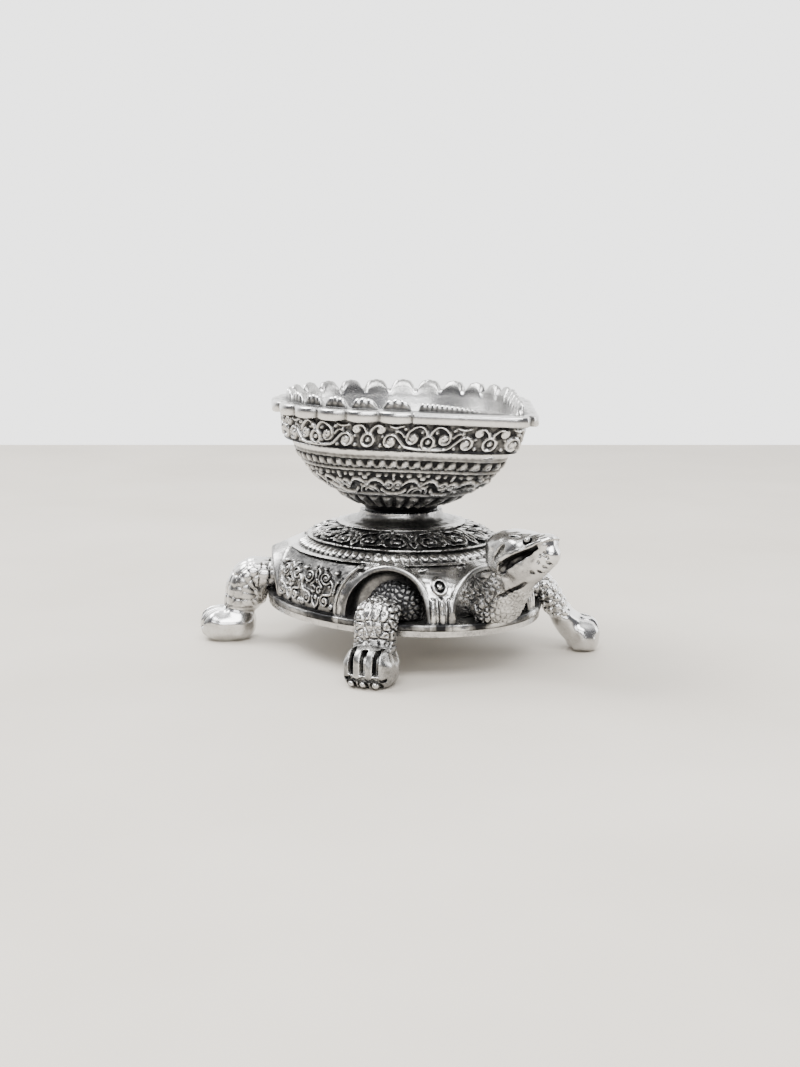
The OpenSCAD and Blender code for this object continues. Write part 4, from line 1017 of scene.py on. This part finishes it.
def head_field(x, y, z):
    """Head and neck, with the face's features and a crease under the jaw."""
    q = np.abs(y)
    p, w = head_axes(x, z)
    skull = skull_field(x, q, z)
    over, gap = mouth_edges(x, z)
    lip = np.maximum(skull - 0.34, np.maximum(np.abs(over - gap - 0.5) - 0.42, -2.6 - p))
    face = soft_min(skull, lip, 0.3)
    eye = np.sqrt((p - 6.0) ** 2 + (q - 3.1) ** 2 + (w - 2.4) ** 2)
    face = soft_max(face, 1.0 - eye, 0.4)
    face = np.minimum(face, eye - 0.75)
    hollow = cone(p, q - 5.5, w, (-2.4, 1.4), (0.6, 3.0), 1.1, 0.7)
    brow = cone(p, q - 4.5 + 0.17 * (p + 2.1), w, (-2.1, 6.0), (7.9, 2.8), 0.4, 0.3)
    face = soft_max(face, -np.minimum(hollow, brow), 0.3)
    face = soft_max(face, -mouth_field(x, q, z), 0.25)
    nostril = np.sqrt((p - 9.5) ** 2 + (q - 1.2) ** 2 + (w - 0.9) ** 2)
    face = soft_max(face, 0.55 - nostril, 0.2)
    for a, c in PITS:
        face = soft_max(face, -np.maximum(np.hypot(p - a, w - c) - 0.4, -(skull + 0.45)), 0.15)
    face = face + 0.08 * ripple(p, q, w, 3.0, 4)
    head = soft_min(face, neck_field(x, y, z), 0.25)
    crease = np.maximum(np.abs(w + 5.5 - 0.03 * p) - 0.3, np.maximum(-(head + 0.6), np.abs(p + 4.4) - 4.2))
    return np.maximum(soft_max(head, -np.maximum(crease, 1.5 - q), 0.2), NECK_BACK - x)


def make_head():
    """Head and neck, lighter on the head than on the neck and dark in the mouth."""
    points, quads = net(head_field, (NECK_BACK - 0.5, -8.4, 12.5), (58.6, 8.4, 37), 0.22)
    x, y, z = points.T
    q = np.abs(y)
    brightening = step(23, 26, z) * step(40, 42, x)
    patina_and_painted_light = openness(head_field, points) + 0.14 * brightening + 0.06 * (1 - brightening)
    in_mouth = step(0.25, -0.1, mouth_field(x, q, z)) * step(-0.1, -0.5, skull_field(x, q, z))
    patina_and_painted_light = patina_and_painted_light * (1 - (0.72 + 0.28 * ripple(x, y, z, 2.2, 9)) * in_mouth)
    piece("head_casting", points, quads, patina_and_painted_light, "head", metal)


make_head()


# Tail

TAIL_PATH = np.array([[37.7, 16.9], [40.0, 16.7], [42.2, 16.2], [43.8, 15.6]])
TAIL_RADII, TAIL_ROOT = np.array([3.2, 2.7, 1.9, 0.9]), 37.9


def tail_field(x, y, z):
    """Scaly tail, drawn as if it pointed to the front."""
    tail, run, turn = limb(x, y, z, TAIL_PATH, TAIL_RADII, 1.0)
    _, edge = pebbles(turn / (2 * np.pi) * 10, run / 1.8, 10)
    return np.maximum(tail - 0.4 * step(0.0, 0.4, edge), TAIL_ROOT - x)


def make_tail():
    """Tail, turned to the rear."""
    points, quads = net(tail_field, (37.3, -4.5, 12.0), (45.6, 4.5, 21.5), 0.24)
    patina_and_painted_light = openness(tail_field, points)
    piece("tail_casting", points * [-1, -1, 1], quads, patina_and_painted_light, "tail", metal)


make_tail()


# Pieces kept from the CAD model

for node, material in (("belly_plate", plate_metal), ("tie_screw", steel), ("washer", steel)):
    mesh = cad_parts[node].data
    mesh.materials.clear()
    mesh.materials.append(material)


# Floor, light and camera

# Direction in which the camera looks, on the level and downwards
HEADING, TILT = np.radians(143.972), np.radians(9.7535)
EYE = Vector((0.29236, -0.21735, 0.09153))
FOCAL_LENGTH, IMAGE_H, SENSOR = 1500, 1067, 36
FLOOR_FAR, FLOOR_NEAR, FLOOR_HALF = 0.82, -0.6, 1.2
TARGET = Vector((-0.006, 0, 0.03))
ahead = Vector((np.cos(HEADING), np.sin(HEADING), 0))
across = Vector((np.sin(HEADING), -np.cos(HEADING), 0))


def make_camera():
    """Camera that looks ahead and down; its focal length is in pixels, like the image's height."""
    camera = bpy.data.objects.new("camera", bpy.data.cameras.new("camera"))
    bpy.context.scene.collection.objects.link(camera)
    forward = ahead * np.cos(TILT) - Vector((0, 0, np.sin(TILT)))
    axes = zip(across, across.cross(forward), forward, EYE)
    camera.matrix_world = Matrix([[r, u, -f, e] for r, u, f, e in axes] + [[0, 0, 0, 1]])
    camera.data.sensor_width = SENSOR
    camera.data.lens = FOCAL_LENGTH * SENSOR / IMAGE_H
    camera.data.clip_start = 0.01
    bpy.context.scene.camera = camera


def make_floor():
    """Plain pale floor with a faint mottling."""
    ground = Vector((EYE.x, EYE.y, 0))
    sides = ((FLOOR_NEAR, -1), (FLOOR_NEAR, 1), (FLOOR_FAR, 1), (FLOOR_FAR, -1))
    mesh = bpy.data.meshes.new("floor")
    mesh.from_pydata([ground + ahead * d + across * w * FLOOR_HALF for d, w in sides], [], [(0, 1, 2, 3)])
    floor = bpy.data.objects.new("floor", mesh)
    bpy.context.scene.collection.objects.link(floor)
    pale = bpy.data.materials.new("pale_floor")
    nodes, links, shader = nodes_of(pale)
    place = nodes.new("ShaderNodeTexCoord").outputs["Object"]
    tones = [(0.3, (0.5, 0.46, 0.4)), (0.7, (0.57, 0.53, 0.47))]
    tone = ramp(nodes, links, noise(nodes, links, place, 0.012, 5.0), tones)
    links.new(tone, shader.inputs["Base Color"])
    shader.inputs["Roughness"].default_value = 0.7
    mesh.materials.append(pale)


def softbox(name, place, size, power):
    """Rectangular light that faces the object."""
    light = bpy.data.lights.new(name, "AREA")
    light.shape = "RECTANGLE"
    light.size, light.size_y = size
    light.energy = power
    obj = bpy.data.objects.new(name, light)
    bpy.context.scene.collection.objects.link(obj)
    obj.location = place
    obj.rotation_euler = (TARGET - place).to_track_quat("-Z", "Y").to_euler()


def from_camera(right, forward, up):
    """Place in metres from the object, in the camera's level directions."""
    return across * right + ahead * forward + Vector((0, 0, up))


def make_world():
    """Studio walls, bright behind the object and dark behind the camera."""
    world = bpy.data.worlds.new("studio")
    bpy.context.scene.world = world
    world.use_nodes = True
    nodes, links = world.node_tree.nodes, world.node_tree.links
    direction = nodes.new("ShaderNodeTexCoord").outputs["Generated"]
    lean = nodes.new("ShaderNodeVectorMath")
    lean.operation = "DOT_PRODUCT"
    links.new(direction, lean.inputs[0])
    lean.inputs[1].default_value = ahead * 0.8 + Vector((0, 0, 0.45))
    walls = [(0.0, (0.05, 0.05, 0.055)), (0.25, (0.2, 0.2, 0.205)), (0.6, (1.0, 1.0, 0.99))]
    links.new(ramp(nodes, links, lean.outputs["Value"], walls), nodes["Background"].inputs["Color"])
    nodes["Background"].inputs["Strength"].default_value = 3.0


make_camera()
make_floor()
softbox("window", from_camera(-0.5, 0.15, 0.75), (0.55, 0.4), 12.0)
softbox("front", from_camera(0.05, -0.5, 0.75), (0.8, 0.4), 12.0)
softbox("low", from_camera(-0.15, -0.85, 0.38), (0.8, 0.3), 5.0)
softbox("side", from_camera(0.8, 0.1, 0.3), (0.3, 0.6), 3.0)
make_world()
